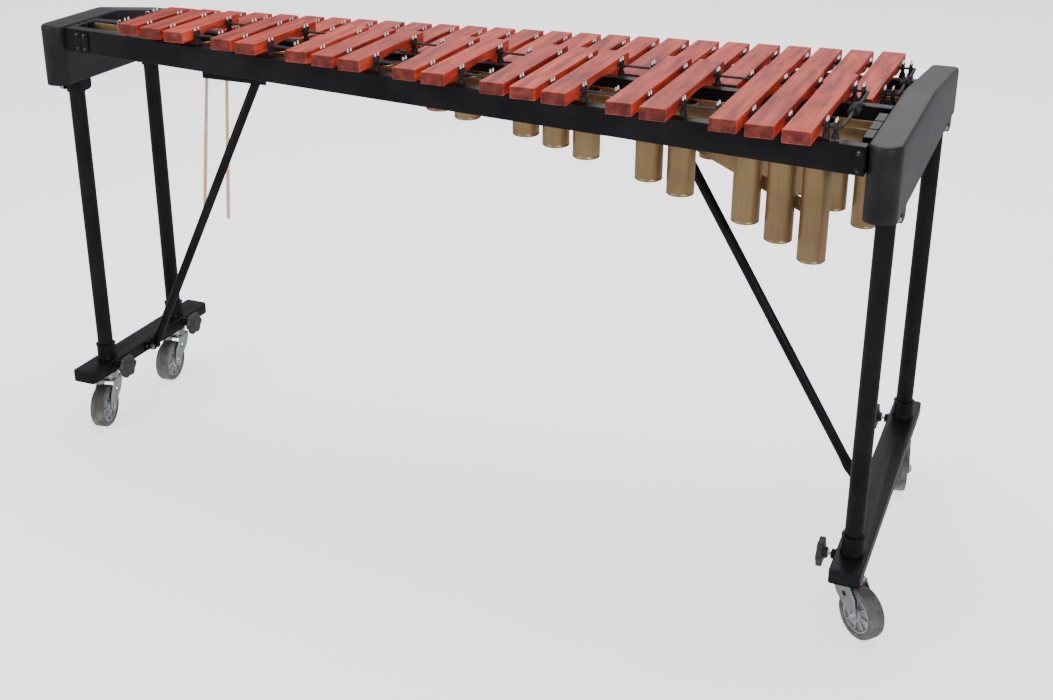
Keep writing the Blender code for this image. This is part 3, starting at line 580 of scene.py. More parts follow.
cap_plastic = speckled("moulded_black", (22.0, 6.0), ((0.40, (0.007, 0.007, 0.008)), (0.75, (0.016, 0.016, 0.018))),
                       (0.30, 0.48), specular=0.30, stretch=(1.0, 0.4, 1.0), grain=(1100.0, 1.0, 0.00014))


def cap_top_at(end, y):
    """Height of the cap's top: level in front of the fold, with a soft fold into the slope behind."""
    fall = (CAP_TOP - CAP_BACK_TOP) / end["cap"][1]
    if y > CAP_FOLD:
        return CAP_TOP - fall * y
    return CAP_TOP - fall * max(0.0, y + CAP_FOLD) ** 2 / (4 * CAP_FOLD)


def cap_plan(end, inset):
    """Left and right points of the plan, paired from the nose to the back."""
    half = CAP_WIDTH / 2 - inset
    front, back = end["cap"][0] + inset, end["cap"][1] - inset
    nose = arc((0.0, front + half), half, -81, 0, 9)
    corner = max(0.012 - inset, 0.002)
    tail = arc((half - corner, back - corner), corner, 0, 81, 6)
    stations = [front + half + (back - corner - front - half) * k / 30 for k in range(1, 30)]
    return nose + [(half, y) for y in stations] + tail


for end_name, end in ENDS.items():
    x0 = end["x"]
    shell = bmesh.new()
    levels = [(0.0, None)] + [(CAP_ROUND * (1 - cos(radians(a))), radians(a)) for a in range(0, 91, 15)]
    rings = []
    for inset, angle in levels:
        pairs = []
        for x, y in cap_plan(end, inset):
            z = CAP_BOTTOM if angle is None else cap_top_at(end, y) - CAP_ROUND * (1 - sin(angle))
            pairs.append((shell.verts.new((x0 - x, y, z)), shell.verts.new((x0 + x, y, z))))
        rings.append([pair[0] for pair in pairs] + [pair[1] for pair in reversed(pairs)])
    bridge(shell, rings)
    last = rings[-1]
    for k in range(len(last) // 2 - 1):
        shell.faces.new((last[k], last[k + 1], last[-k - 2], last[-k - 1]))
    cap = piece(f"{end_name}_cap_shell", shell, cap_plastic, "frame", (f"{end_name}_end_cap",))
    wall = cap.modifiers.new("Wall", "SOLIDIFY")
    wall.thickness = CAP_WALL
    wall.offset = -1.0


# ---- END MEMBERS AND LEG CLAMPS -------------------------------------------------------------
# Inside each cap a steel box carries the rails. The two legs slide in it, and an eared clamp with
# a cross bolt grips each of them just below the cap.
MEMBER_BOTTOM = 0.699
MEMBER_TOP = 0.729
LEG_RADIUS = 0.014
LEG_BORE = 0.0145
EAR_HEIGHT = 0.0220
EAR_HALF = 0.0165
BOLT_Z = CAP_BOTTOM - 0.55 * EAR_HEIGHT


def add_cylinder(bm, start, end, radius, sides=28, end_radius=None):
    start = Vector(start)
    along = Vector(end) - start
    turn = Vector((0, 0, 1)).rotation_difference(along).to_matrix().to_4x4()
    bmesh.ops.create_cone(bm, cap_ends=True, segments=sides, radius1=radius,
                          radius2=radius if end_radius is None else end_radius, depth=along.length,
                          matrix=Matrix.Translation(start + along / 2) @ turn)


def add_block(bm, low, high):
    size = [b - a for a, b in zip(low, high)]
    middle = [(a + b) / 2 for a, b in zip(low, high)]
    bmesh.ops.create_cube(bm, size=1.0, matrix=Matrix.Translation(middle) @ Matrix.Diagonal((*size, 1.0)))


def add_turned(bm, profile, place, steps=32, closed=False):
    """Turn a profile of (radius, height) about local Z; a closed one makes a ring."""
    rings = []
    for radius, height in profile:
        angles = [2 * pi * k / steps for k in range(steps if radius > 1e-6 else 1)]
        rings.append([bm.verts.new(place @ Vector((radius * cos(a), radius * sin(a), height)))
                      for a in angles])
    bridge(bm, rings, closed)


for end_name, end in ENDS.items():
    x = end["x"]
    side = end["side"]
    half = CAP_WIDTH / 2 - CAP_WALL - 0.0003
    member = bmesh.new()
    front, back = end["legs"]
    for y0, y1 in ((front - 0.024, front - EAR_HALF), (front + EAR_HALF, back - EAR_HALF),
                   (back + EAR_HALF, back + 0.024)):
        add_block(member, (x - half, y0, MEMBER_BOTTOM), (x + half, y1, MEMBER_TOP))
    clamps = bmesh.new()
    for y in end["legs"]:
        for way in (-1, 1):
            add_block(member, (x + way * 0.0148 - 0.0006, y - EAR_HALF, MEMBER_BOTTOM),
                      (x + way * 0.0148 + 0.0006, y + EAR_HALF, MEMBER_TOP))
        low = -EAR_HEIGHT
        ring = [(LEG_BORE, -0.0005), (LEG_BORE + 0.0020, -0.0005), (LEG_BORE + 0.0026, -0.0012),
                (LEG_BORE + 0.0026, low), (LEG_BORE + 0.0020, low - 0.0006), (LEG_BORE, low - 0.0006)]
        add_turned(clamps, ring, at(x, y, CAP_BOTTOM), 40, closed=True)
        outline = [(y - EAR_HALF, CAP_BOTTOM - 0.0006), (y - EAR_HALF, CAP_BOTTOM - EAR_HEIGHT / 2)]
        outline += arc((y - 0.0085, BOLT_Z), 0.008, 180, 270, 5) + arc((y + 0.0085, BOLT_Z), 0.008, 270, 360, 5)
        outline += [(y + EAR_HALF, CAP_BOTTOM - 0.0006)]
        for way, thick in ((side, 0.0062), (-side, 0.0045)):
            middle = x + way * (LEG_BORE + 0.0018 + thick / 2)
            add_flat(clamps, [outline], thick, at(middle, 0, 0) @ ACROSS, 0.0008)
    piece(f"{end_name}_member_box", member, powder_black, "frame", (f"{end_name}_end_member",),
          edge=0.0008)
    piece(f"{end_name}_leg_clamps", clamps, powder_black, "frame")
    bolts = bmesh.new()
    for y in end["legs"]:
        bolt_x = x + side * 0.0178
        for start, tip, radius, sides in ((-0.0188, -0.0163, 0.0046, 24), (0.0163, 0.0200, 0.0050, 6)):
            add_cylinder(bolts, (bolt_x, y + start, BOLT_Z), (bolt_x, y + tip, BOLT_Z), radius, sides)
    piece(f"{end_name}_clamp_bolts", bolts, bright_steel, "frame", edge=0.0005)


# ---- LEGS -----------------------------------------------------------------------------------
# Round steel tubes, powder coated like the rails; they stand in the floor beam's collars.
LEG_TOP = 0.737
BEAM_TOP = 0.127
BEAM_THICKNESS = 0.022

for end_name, end in ENDS.items():
    for place, y in zip(("front", "back"), end["legs"]):
        x = end["x"]
        wall = 0.002
        low = BEAM_TOP - BEAM_THICKNESS + 0.002
        ring = [(LEG_RADIUS - wall, low), (LEG_RADIUS - 0.0005, low), (LEG_RADIUS, low + 0.0006),
                (LEG_RADIUS, LEG_TOP - 0.0006), (LEG_RADIUS - 0.0005, LEG_TOP), (LEG_RADIUS - wall, LEG_TOP)]
        tube = bmesh.new()
        add_turned(tube, ring, at(x, y, 0), 48, closed=True)
        piece(f"{end_name}_{place}_leg_tube", tube, powder_black, f"{end_name}_base",
              (f"{end_name}_{place}_leg",))


# ---- FLOOR BEAMS ----------------------------------------------------------------------------
# A box beam with rounded corners joins each pair of legs above the casters. A cast collar is welded round
# each leg, and a threaded boss on the inner side takes the clamp knob.
BEAM_WIDTH = 0.047
COLLAR_HEIGHT = 0.030
KNOB_Z = 0.116
BOSS_LENGTH = 0.007

for end_name, end in ENDS.items():
    side, x = end["side"], end["x"]
    front, back = end["beam"]
    plan = rounded(x - BEAM_WIDTH / 2, front, x + BEAM_WIDTH / 2, back, 0.006, 6)
    holes = [arc((x, y), LEG_BORE, 0, 350, 35) for y in end["legs"]]
    beam = bmesh.new()
    body = BEAM_THICKNESS - 0.0015
    add_flat(beam, [plan] + holes, body, at(0, 0, BEAM_TOP - body / 2), 0.0022, 3)
    add_flat(beam, [plan], 0.0014, at(0, 0, BEAM_TOP - BEAM_THICKNESS + 0.0007), 0.0004, 1)
    for y in end["legs"]:
        lip = COLLAR_HEIGHT
        collar = [(0.0, -0.004), (0.0042, -0.004), (0.0042, 0.0012), (0.0032, 0.0040), (0.0024, 0.0060),
                  (0.0024, lip - 0.0030), (0.0036, lip - 0.0022), (0.0036, lip - 0.0006), (0.0028, lip), (0.0, lip)]
        collar = [(LEG_BORE + out, up) for out, up in collar]
        add_turned(beam, collar, at(x, y, BEAM_TOP), 40, closed=True)
        inner = x - side * BEAM_WIDTH / 2
        boss = [(0.0034, -0.001), (0.0095, -0.001), (0.0086, 0.0012), (0.0076, 0.0020),
                (0.0076, BOSS_LENGTH - 0.0007), (0.0069, BOSS_LENGTH), (0.0034, BOSS_LENGTH)]
        turn = Matrix.Rotation(-side * pi / 2, 4, "Y")
        add_turned(beam, boss, at(inner, y, KNOB_Z) @ turn, 28, closed=True)
    piece(f"{end_name}_floor_beam_welded", beam, powder_black, f"{end_name}_base",
          (f"{end_name}_floor_beam",), smooth=40.0)


# ---- CLAMP KNOBS ----------------------------------------------------------------------------
# Six-lobed moulded knobs on bright studs that pass through the boss and bear on the leg.
KNOB_REACH = 0.0208
LOBE_DEPTH = 0.0017
STUD_RADIUS = 0.0028

knob_plastic = speckled("knob_black", (160.0, 3.0), ((0.4, (0.016, 0.016, 0.018)), (0.7, (0.036, 0.036, 0.039))),
                        (0.30, 0.50))

for end_name, end in ENDS.items():
    side = end["side"]
    face = end["x"] - side * (BEAM_WIDTH / 2 + BOSS_LENGTH)
    hub = face - side * 0.005
    for place, y in zip(("front", "back"), end["legs"]):
        angles = [2 * pi * k / 72 for k in range(72)]
        outline = [((KNOB_REACH + LOBE_DEPTH * cos(6 * a)) * cos(a),
                    (KNOB_REACH + LOBE_DEPTH * cos(6 * a)) * sin(a)) for a in angles]
        knob = bmesh.new()
        star = at(hub - side * 0.0108, y, KNOB_Z) @ ACROSS
        add_flat(knob, [outline], 0.0092, star, 0.0020, 3)
        turn = Matrix.Rotation(-side * pi / 2, 4, "Y")
        skirt = [(0.0, 0.0), (0.0072, 0.0), (0.0084, 0.0010), (0.0098, 0.0055), (0.0125, 0.0075), (0.0, 0.0075)]
        add_turned(knob, skirt, at(hub, y, KNOB_Z) @ turn, 32)
        crown = [(0.0, 0.0), (0.0108, 0.0), (0.0100, 0.0011), (0.0060, 0.0016), (0.0, 0.0016)]
        add_turned(knob, crown, at(hub - side * 0.0152, y, KNOB_Z) @ turn, 32)
        name = f"{end_name}_{place}_knob"
        piece(name + "_grip", knob, knob_plastic, name, (name,), smooth=45.0)
        stud = bmesh.new()
        leg_face = end["x"] - side * (LEG_RADIUS + 0.0008)
        add_cylinder(stud, (hub - side * 0.003, y, KNOB_Z), (leg_face, y, KNOB_Z), STUD_RADIUS, 24)
        add_cylinder(stud, (hub - side * 0.0003, y, KNOB_Z), (hub + side * 0.0014, y, KNOB_Z), 0.0058, 6)
        piece(name + "_stud", stud, bright_steel, name, edge=0.0003)


# ---- BRACES ---------------------------------------------------------------------------------
# A tube runs from a clevis on each beam up to a channel under the keyboard, where a cross pin
# slides as the height changes. Its lower end is pressed flat round the pivot.
BRACE_PIN_INSET = 0.015
BRACE_PIN_Z = 0.118
BRACE_TOP_Z = 0.688
BRACE_RADIUS = 0.008
CHANNEL_BOTTOM = 0.674

for end_name, end in ENDS.items():
    side, y = end["side"], end["brace_y"]
    face = end["x"] - side * (BEAM_WIDTH / 2 + 0.0003)
    pin = Vector((face - side * BRACE_PIN_INSET, y, BRACE_PIN_Z))
    top = Vector((end["top_x"], y, BRACE_TOP_Z))
    along = (top - pin).normalized()
    lie = Matrix.Translation(pin) @ Matrix.Rotation(atan2(along.x, along.z), 4, "Y")
    length = (top - pin).length
    # Half widths along and across the pivot, by distance from it: a flat eye growing into a round tube.
    eye = [(-0.0063 * sin(radians(a)), 0.0063 * cos(radians(a)), 0.0030)
           for a in (82, 65, 45, 22, 0)]
    sections = eye + [(0.010, 0.0075, 0.0032), (0.018, 0.0092, 0.0036), (0.026, 0.0098, 0.0050),
                      (0.036, 0.0088, 0.0070), (0.046, BRACE_RADIUS, BRACE_RADIUS),
                      (length - 0.0010, BRACE_RADIUS, BRACE_RADIUS),
                      (length, BRACE_RADIUS - 0.0008, BRACE_RADIUS - 0.0008)]
    brace = bmesh.new()
    rings = []
    for distance, wide, thick in sections:
        square = 0.62 if thick < 0.004 else 1.0
        ring = [(cos(2 * pi * k / 32), sin(2 * pi * k / 32)) for k in range(32)]
        rings.append([brace.verts.new(lie @ Vector((wide * copysign(abs(c) ** square, c),
                                                    thick * copysign(abs(v) ** square, v), distance)))
                      for c, v in ring])
    bridge(brace, rings)
    brace.faces.new(list(reversed(rings[0])))
    brace.faces.new(rings[-1])
    piece(f"{end_name}_brace_tube", brace, powder_black, f"{end_name}_brace",
          (f"{end_name}_brace",), smooth=50.0)
    pins = bmesh.new()
    across = Vector((0.0, 0.0102, 0.0))
    add_cylinder(pins, top - across, top + across, 0.0042, 24)
    for way in (-1, 1):
        add_cylinder(pins, top + across * way * 0.85, top + across * way * 1.06, 0.0062, 24)
    piece(f"{end_name}_brace_slide_pin", pins, bright_steel, f"{end_name}_brace", edge=0.0004)

    channel = bmesh.new()
    ceiling = ROWS["naturals"]["top"] - BAR_THICKNESS - RAIL_TO_BAR - RAIL_HEIGHT - 0.0003
    x0, x1 = sorted((end["top_x"] - side * 0.022, end["top_x"] + side * 0.108))
    half = [(0.0127, ceiling - 0.0025), (0.0127, CHANNEL_BOTTOM), (0.015, CHANNEL_BOTTOM), (0.015, ceiling - 0.001),
            (0.014, ceiling)]
    section = half + [(-across, up) for across, up in reversed(half)]
    add_flat(channel, [section], x1 - x0, at((x0 + x1) / 2, y, 0) @ ACROSS, 0.0004, 1)
    piece(f"{end_name}_channel_folded", channel, powder_black, "frame",
          (f"{end_name}_brace_channel",))

    clevis = bmesh.new()
    x0, x1 = sorted((face, face - side * 0.003))
    outline = rounded(-0.013, 0.107, 0.013, 0.126, 0.003)
    add_flat(clevis, [outline], 0.003, at((x0 + x1) / 2, y, 0) @ ACROSS, 0.0005)
    ear = arc((BRACE_PIN_INSET, BRACE_PIN_Z), 0.0078, -90, 90, 10) + [(0.0015, 0.1262), (0.0015, 0.1092)]
    for offset in (-0.0058, 0.0058):
        flip = Matrix.Diagonal((-side, 1, 1, 1))
        add_flat(clevis, [ear], 0.0024, at(face, y + offset, 0) @ flip @ ALONG, 0.0005)
    piece(f"{end_name}_clevis_bracket", clevis, powder_black, f"{end_name}_base",
          (f"{end_name}_brace_clevis",))
    pivot = bmesh.new()
    for start, stop, radius, sides in ((-0.0092, 0.0090, 0.0029, 20), (-0.0096, -0.0072, 0.0052, 24),
                                       (0.0071, 0.0094, 0.0055, 6)):
        add_cylinder(pivot, pin + Vector((0, start, 0)), pin + Vector((0, stop, 0)), radius, sides)
    for offset in (-0.0098, 0.0098):
        start, stop = ((face - side * out, y + offset, 0.1165) for out in (0.0028, 0.0045))
        add_cylinder(pivot, start, stop, 0.0024, 16)
    piece(f"{end_name}_clevis_pin", pivot, bright_steel, f"{end_name}_base", edge=0.0004)


# ---- CASTERS --------------------------------------------------------------------------------
# Plated pressed-steel swivel forks with a ball race under the beam, and grey rubber-tyred wheels
# with a ribbed nylon centre, held by an axle bolt and nut.
WHEEL_RADIUS = 0.040
TRAIL = 0.033
CROWN = 0.0835                 # height of the fork's flat top
TYRE_HALF = 0.0125
TYRE_SHOULDER = 0.0045
FORK_INNER = 0.0160
FORK_PLATE = 0.002
CASTERS = {"left_front": ("left", 0, -76.0), "left_back": ("left", 1, -83.0),
           "right_front": ("right", 0, -40.0), "right_back": ("right", 1, -78.0)}

zinc = speckled("zinc_plate", (38.0, 5.0), ((0.35, (0.44, 0.46, 0.47)), (0.55, (0.60, 0.62, 0.62)),
                                            (0.75, (0.70, 0.70, 0.67))), (0.20, 0.42), metallic=1.0)
tread_rubber = speckled("grey_tread", (45.0, 6.0), ((0.38, (0.055, 0.052, 0.049)), (0.68, (0.130, 0.122, 0.112))),
                        (0.60, 0.85), grain=(45.0, 6.0, 0.0002))
hub_nylon = speckled("grey_nylon", (70.0, 4.0), ((0.35, (0.19, 0.20, 0.21)), (0.7, (0.33, 0.34, 0.35))),
                     (0.38, 0.60))

for caster, (end_name, leg, trail) in CASTERS.items():
    end = ENDS[end_name]
    stand = at(end["x"], end["legs"][leg], 0.0) @ Matrix.Rotation(radians(trail), 4, "Z")
    outer = FORK_INNER + FORK_PLATE
    fork = bmesh.new()
    cheek = [(-0.0175, CROWN + 0.003), (-0.0175, 0.0762), (-0.006, 0.058)]
    cheek += arc((TRAIL, WHEEL_RADIUS), 0.0088, 190, 370, 14)
    cheek += [(0.0345, 0.0655), (0.0195, CROWN - 0.001), (0.0195, CROWN + 0.003)]
    hole = arc((0.0105, 0.0655), 0.0045, 0, 330, 11)
    for sign in (-1, 1):
        place = stand @ at(0, sign * (FORK_INNER + FORK_PLATE / 2), 0) @ ALONG
        add_flat(fork, [cheek, hole], FORK_PLATE, place, 0.0005)
    add_flat(fork, [rounded(-0.0175, -outer, 0.0195, outer, 0.006, 5)], 0.003,
             stand @ at(0, 0, CROWN + 0.0015), 0.0007)
    under = BEAM_TOP - BEAM_THICKNESS - CROWN
    race = [(0.0, 0.0025), (0.0150, 0.0025), (0.0178, 0.0045), (0.0184, 0.0085), (0.0176, 0.0105), (0.0170, 0.0108),
            (0.0170, 0.0116), (0.0186, 0.0122), (0.0190, 0.0150), (0.0178, 0.0176), (0.0120, under - 0.0008),
            (0.0, under - 0.0008)]
    add_turned(fork, race, stand @ at(0, 0, CROWN), 40)
    piece(f"{caster}_fork_pressed", fork, zinc, f"{caster}_fork", (f"{caster}_fork",), smooth=40.0)
    bolt = bmesh.new()
    middle = stand @ at(TRAIL, 0, WHEEL_RADIUS) @ Matrix.Rotation(pi / 2, 4, "X")
    shank = [(0.0, outer + 0.0040), (0.0030, outer + 0.0040), (0.0036, outer + 0.0034)]
    add_turned(bolt, [(radius, -along) for radius, along in shank] + shank[::-1], middle, 20)
    for start, depth, radius, sides in ((-outer - 0.0031, 0.0029, 0.0066, 6), (outer + 0.0002, 0.0029, 0.0066, 6),
                                        (-outer - 0.0007, 0.0007, 0.0078, 28), (outer, 0.0007, 0.0078, 28)):
        add_cylinder(bolt, middle @ Vector((0, 0, start)), middle @ Vector((0, 0, start + depth)), radius, sides)
    piece(f"{caster}_axle_bolt", bolt, bright_steel, f"{caster}_fork", edge=0.0003)

    shoulder = arc((WHEEL_RADIUS - TYRE_SHOULDER, TYRE_SHOULDER - TYRE_HALF), TYRE_SHOULDER, -90, 0, 3)
    half_tyre = [(0.0292, 0.0008 - TYRE_HALF), (0.0300, -TYRE_HALF)] + shoulder
    half_tyre += [(WHEEL_RADIUS, -0.0012), (WHEEL_RADIUS - 0.0006, -0.0008)]
    tyre = half_tyre + [(radius, -along) for radius, along in reversed(half_tyre)]
    wheel = bmesh.new()
    add_turned(wheel, tyre, middle, 64, closed=True)
    piece(f"{caster}_tyre", wheel, tread_rubber, f"{caster}_wheel", (f"{caster}_wheel",), smooth=40.0)
    centre = bmesh.new()
    hub = [(0.0043, -0.0143), (0.0092, -0.0143), (0.0102, -0.0135), (0.0112, -0.0072),
           (0.0250, -0.0060), (0.0262, -0.0068), (0.0268, -0.0113), (0.0294, -0.0113)]
    add_turned(centre, hub + [(radius, -height) for radius, height in reversed(hub)], middle, 48, closed=True)
    for k in range(8):
        spin = middle @ Matrix.Rotation(2 * pi * k / 8, 4, "Z")
        for sign in (-1, 1):
            rib = spin @ at(0.0183, 0, sign * 0.0083) @ Matrix.Diagonal((0.0165, 0.0022, 0.0045, 1))
            bmesh.ops.create_cube(centre, size=1.0, matrix=rib)
    piece(f"{caster}_wheel_centre", centre, hub_nylon, f"{caster}_wheel", smooth=40.0)


# ---- RESONATORS -----------------------------------------------------------------------------
# Gold-anodised aluminium tubes, each stopped at the bottom and cut to its bar's quarter wave, hang
# between two straight strips that are riveted to them. A stay stiffens the long ones.
TUBE_RADIUS = 0.0205
TUBE_WALL = 0.0013
STRIP_HEIGHT = 0.022
STRIP_THICKNESS = 0.0016
STRIP_ENDS = (-0.6870, 0.6795)
LENGTH_FACTOR = 0.90
SHORTEST_TUBE = 0.033
SPEED_OF_SOUND = 340.0
SEMITONES_FROM_F = (0, 2, 4, 6, 7, 9, 11)
RIVET_RADIUS = 0.0026

gold = new_material("gold_anodised", (0.42, 0.28, 0.14), 0.36, metallic=0.85)
gold_drawn = noise(gold, 60.0, (6.0, 6.0, 0.35))
gold_tint = ramp(gold, noise(gold, 7.0, detail=3.0), ((0.35, (0.36, 0.235, 0.115)), (0.65, (0.48, 0.330, 0.165))))
gold_lines = ramp(gold, gold_drawn, ((0.35, (0.78, 0.76, 0.72)), (0.6, (1.0, 1.0, 1.0))))
feed(gold, "Base Color", multiply(gold, 0.5, gold_tint, gold_lines))
feed(gold, "Roughness", spread(gold, gold_drawn, 0.28, 0.46))
bump(gold, gold_drawn, 0.00003)
# Inside each tube the gold is painted much darker, as shade in the bore; it is also rougher and less metallic.
painted_shade_inside = speckled("tube_inside_painted_shade", (30.0, 3.0), ((0.35, (0.08, 0.058, 0.036)), (0.65, (0.17, 0.12, 0.07))),
                       0.7, metallic=0.6, stretch=(3.0, 3.0, 0.5))


def tube_length(step):
    """Quarter-wave length for a bar by its step from F4, half steps being accidentals."""
    natural = int(step)
    semitones = 12 * (natural // 7) + SEMITONES_FROM_F[natural % 7] + (1 if step > natural else 0)
    frequency = 440.0 * 2 ** ((semitones - 4) / 12)
    return max(SHORTEST_TUBE, LENGTH_FACTOR * SPEED_OF_SOUND / (4 * frequency))


def bank_line(row):
    """The middle line between a row's two lines of posts."""
    near, far = row["near_posts"], row["far_posts"]
    return ((near[0] + far[0]) / 2, (near[1] + far[1]) / 2)


def rivets(name, radius):
    dome = ((0, 0, 0), (radius, 0.55 * radius, 0.0013, 14))
    return repeat_tree(name, gold, [dome], facing=True)


strip_rivets, stay_rivets = rivets("strip_rivets", RIVET_RADIUS), rivets("stay_rivets", 0.0032)

for row_name, row in ROWS.items():
    line = bank_line(row)
    top = rail_top(row_name) - 0.002
    steps = row_steps(row_name, 0, 26)
    tubes = bmesh.new()
    for step in steps:
        x = bar_x(step)
        place = at(x, line_y(line, x), top)
        low = -tube_length(step)
        outer = TUBE_RADIUS
        wall = [(0.0, low + 0.0030), (outer - TUBE_WALL, low + 0.0030), (outer - TUBE_WALL, -0.0006),
                (outer - TUBE_WALL * 0.6, -0.0002), (outer - 0.0002, -0.0006), (outer, -0.0012),
                (outer, low + 0.0060), (outer - 0.0005, low + 0.0052), (outer - 0.0005, low + 0.0044),
                (outer, low + 0.0036), (outer, low + 0.0014), (outer - 0.0014, low + 0.0002), (0.0, low)]
        # The first faces, the bore and its floor, take the darker copy with painted shade.
        first = len(tubes.faces)
        add_turned(tubes, wall, place, 40)
        tubes.faces.ensure_lookup_table()
        for face in tubes.faces[first:first + 80]:
            face.material_index = 1
    single = row_name[:-1]
    piece(f"{single}_tubes", tubes, (gold, painted_shade_inside), "frame",
          (f"{single}_resonators",), smooth=45.0)
    strips = bmesh.new()
    for sign in (-1, 1):
        middle = (line[0] + sign * (TUBE_RADIUS + STRIP_THICKNESS / 2 - 0.0004), line[1])
        add_flat(strips, [lean_plan(middle, STRIP_THICKNESS / 2, STRIP_ENDS)], STRIP_HEIGHT,
                 at(0, 0, top - STRIP_HEIGHT / 2), 0.0003, 1)
    piece(f"{single}_strips", strips, gold, "frame", smooth=40.0)
    places, ways = [], []
    for step in steps:
        x = bar_x(step)
        for sign in (-1, 1):
            direction = Vector((-line[1] * sign, sign, 0)).normalized()
            middle = Vector((x, line_y(line, x), top - STRIP_HEIGHT / 2))
            places.append(middle + direction * (TUBE_RADIUS + STRIP_THICKNESS + 0.0006))
            ways.append(direction)
    grown(f"{single}_strip_rivets", places, strip_rivets, "frame", ways)

stay_line = bank_line(ROWS["accidentals"])
stay_start, stay_stop, stay_drop, stay_z = 0.375, 0.622, 0.105, 0.727
stay_turn = Matrix.Rotation(atan(stay_line[1]), 4, "Z")
stay_y = line_y(stay_line, stay_start) + TUBE_RADIUS + 0.0023
run = (stay_stop - stay_start) * hypot(1.0, stay_line[1])
slope = Matrix.Rotation(atan2(stay_drop, run), 4, "Y")
reach = hypot(run, stay_drop)
outline = arc((reach - 0.006, 0.0), 0.0098, -90, 90, 8) + arc((0.006, 0.0), 0.0098, 90, 270, 8)
stay = bmesh.new()
add_flat(stay, [outline], 0.0015, at(stay_start, stay_y, stay_z) @ stay_turn @ slope @ ALONG, 0.0004)
piece("resonator_stay_strip", stay, gold, "frame", ("resonator_stay",))
places = []
for step in (0.5, 1.5, 2.5, 4.5):
    x = bar_x(step)
    fallen = stay_drop * (x - stay_start) / (stay_stop - stay_start)
    places.append(Vector((x, line_y(stay_line, x) + TUBE_RADIUS + 0.0033, stay_z - fallen)))
grown("resonator_stay_rivets", places, stay_rivets, "frame", [Vector((0, 1, 0))] * len(places))


# ---- RESONATOR HANGERS ----------------------------------------------------------------------
# Three moulded blocks side by side on each cap; the ends of the strips rest on the step below them.
HANGER_STEP = 0.025
HANGER_BLOCK = 0.013
HANGER_GAP = 0.004

for row_name, row in ROWS.items():
    single = row_name[:-1]
    top = rail_top(row_name) - 0.002
    step_z = top - STRIP_HEIGHT - 0.0003
    for end_name, end in ENDS.items():
        side, half = end["side"], end["hanger"]
        face = end["x"] - side * (CAP_WIDTH / 2 + 0.0003)
        y = line_y(bank_line(row), face)
        hanger = bmesh.new()
        x0, x1 = sorted((face, face - side * HANGER_STEP))
        add_block(hanger, (x0, y - half, step_z - 0.012), (x1, y + half, step_z))
        x0, x1 = sorted((face, face - side * HANGER_BLOCK))
        width = (2 * half - 2 * HANGER_GAP) / 3
        for count in range(3):
            start = y - half + count * (width + HANGER_GAP)
            add_block(hanger, (x0, start, step_z - 0.001), (x1, start + width, top + 0.002))
        piece(f"{single}_hanger_{end_name}_blocks", hanger, cap_plastic, "frame",
              (f"{single}_hanger_{end_name}",), edge=0.0010, segments=3)


# ---- MALLETS --------------------------------------------------------------------------------
# Two beaters with turned birch shafts and hard plastic heads hang by their heads in a folded
# bracket on the back rail at the treble end.
MALLETS = {"mallet_left": (-0.5932, 0.107), "mallet_right": (-0.5514, 0.071)}
MALLET_Y = 0.112
HOLDER_Z = 0.700
STICK_RADIUS = 0.0035
STICK_LENGTH = 0.348
HEAD_RADIUS = 0.013

birch = speckled("lacquered_birch", (40.0, 4.0), ((0.35, (0.50, 0.33, 0.18)), (0.65, (0.70, 0.50, 0.30))),
                 (0.34, 0.50), stretch=(8.0, 8.0, 0.6))
for label, value in (("Coat Weight", 0.3), ("Coat Roughness", 0.15)):
    birch.node_tree.nodes["Principled BSDF"].inputs[label].default_value = value
head_plastic = speckled("mallet_head", (120.0, 5.0), ((0.4, (0.022, 0.022, 0.025)), (0.7, (0.060, 0.060, 0.064))),
                        (0.22, 0.45))


def tab(x0, x1, near, far, radius=0.006):
    """A rectangle rounded at its two far corners."""
    return [(x0, near), (x1, near)] + rounded(x0, near, x1, far, radius, 5)[:12]


x0, x1 = -0.618, -0.527
behind_rail = line_y(ROWS["naturals"]["far_posts"], x1) + RAIL_WIDTH / 2 + 0.0003
holder = bmesh.new()
plan = tab(x0, x1, behind_rail + 0.0006, MALLET_Y + 0.016)
holes = [arc((x, MALLET_Y), 0.0065, 0, 350, 27) for x, lean in MALLETS.values()]
add_flat(holder, [plan] + holes, 0.003, at(0, 0, HOLDER_Z + 0.0015), 0.0005)
flange = tab(x0, x1, HOLDER_Z + 0.0003, HOLDER_Z + 0.035)
add_flat(holder, [flange], 0.003, at(0, behind_rail + 0.0015, 0) @ ALONG, 0.0005)
piece("mallet_bracket", holder, powder_black, "frame", ("mallet_holder",))
grown("mallet_bracket_screws", [(x, behind_rail + 0.003, HOLDER_Z + 0.022) for x in (x0 + 0.018, x1 - 0.018)],
      screw_tree, "frame", [Vector((0, 1, 0))] * 2)
for name, (x, lean) in MALLETS.items():
    up = Vector((lean, 0, 1)).normalized()
    seat = Vector((x, MALLET_Y, HOLDER_Z + 0.003))
    turn = Vector((0, 0, 1)).rotation_difference(up).to_matrix().to_4x4()
    shaft = bmesh.new()
    profile = [(0.0, -STICK_LENGTH), (0.0024, -STICK_LENGTH), (0.0033, 0.0012 - STICK_LENGTH),
               (STICK_RADIUS, 0.003 - STICK_LENGTH), (STICK_RADIUS, -0.20), (STICK_RADIUS - 0.0005, -0.10),
               (STICK_RADIUS - 0.0005, 0.020), (0.0, 0.020)]
    add_turned(shaft, profile, Matrix.Translation(seat) @ turn, 24)
    piece(name + "_shaft", shaft, birch, name, (name,), smooth=50.0)
    head = bmesh.new()
    ball = arc((0.0, HEAD_RADIUS + 0.0025), HEAD_RADIUS, -80, 80, 16)
    add_turned(head, [(0.0, ball[0][1])] + ball + [(0.0, ball[-1][1])], Matrix.Translation(seat) @ turn, 36)
    piece(name + "_head", head, head_plastic, name, smooth=50.0)


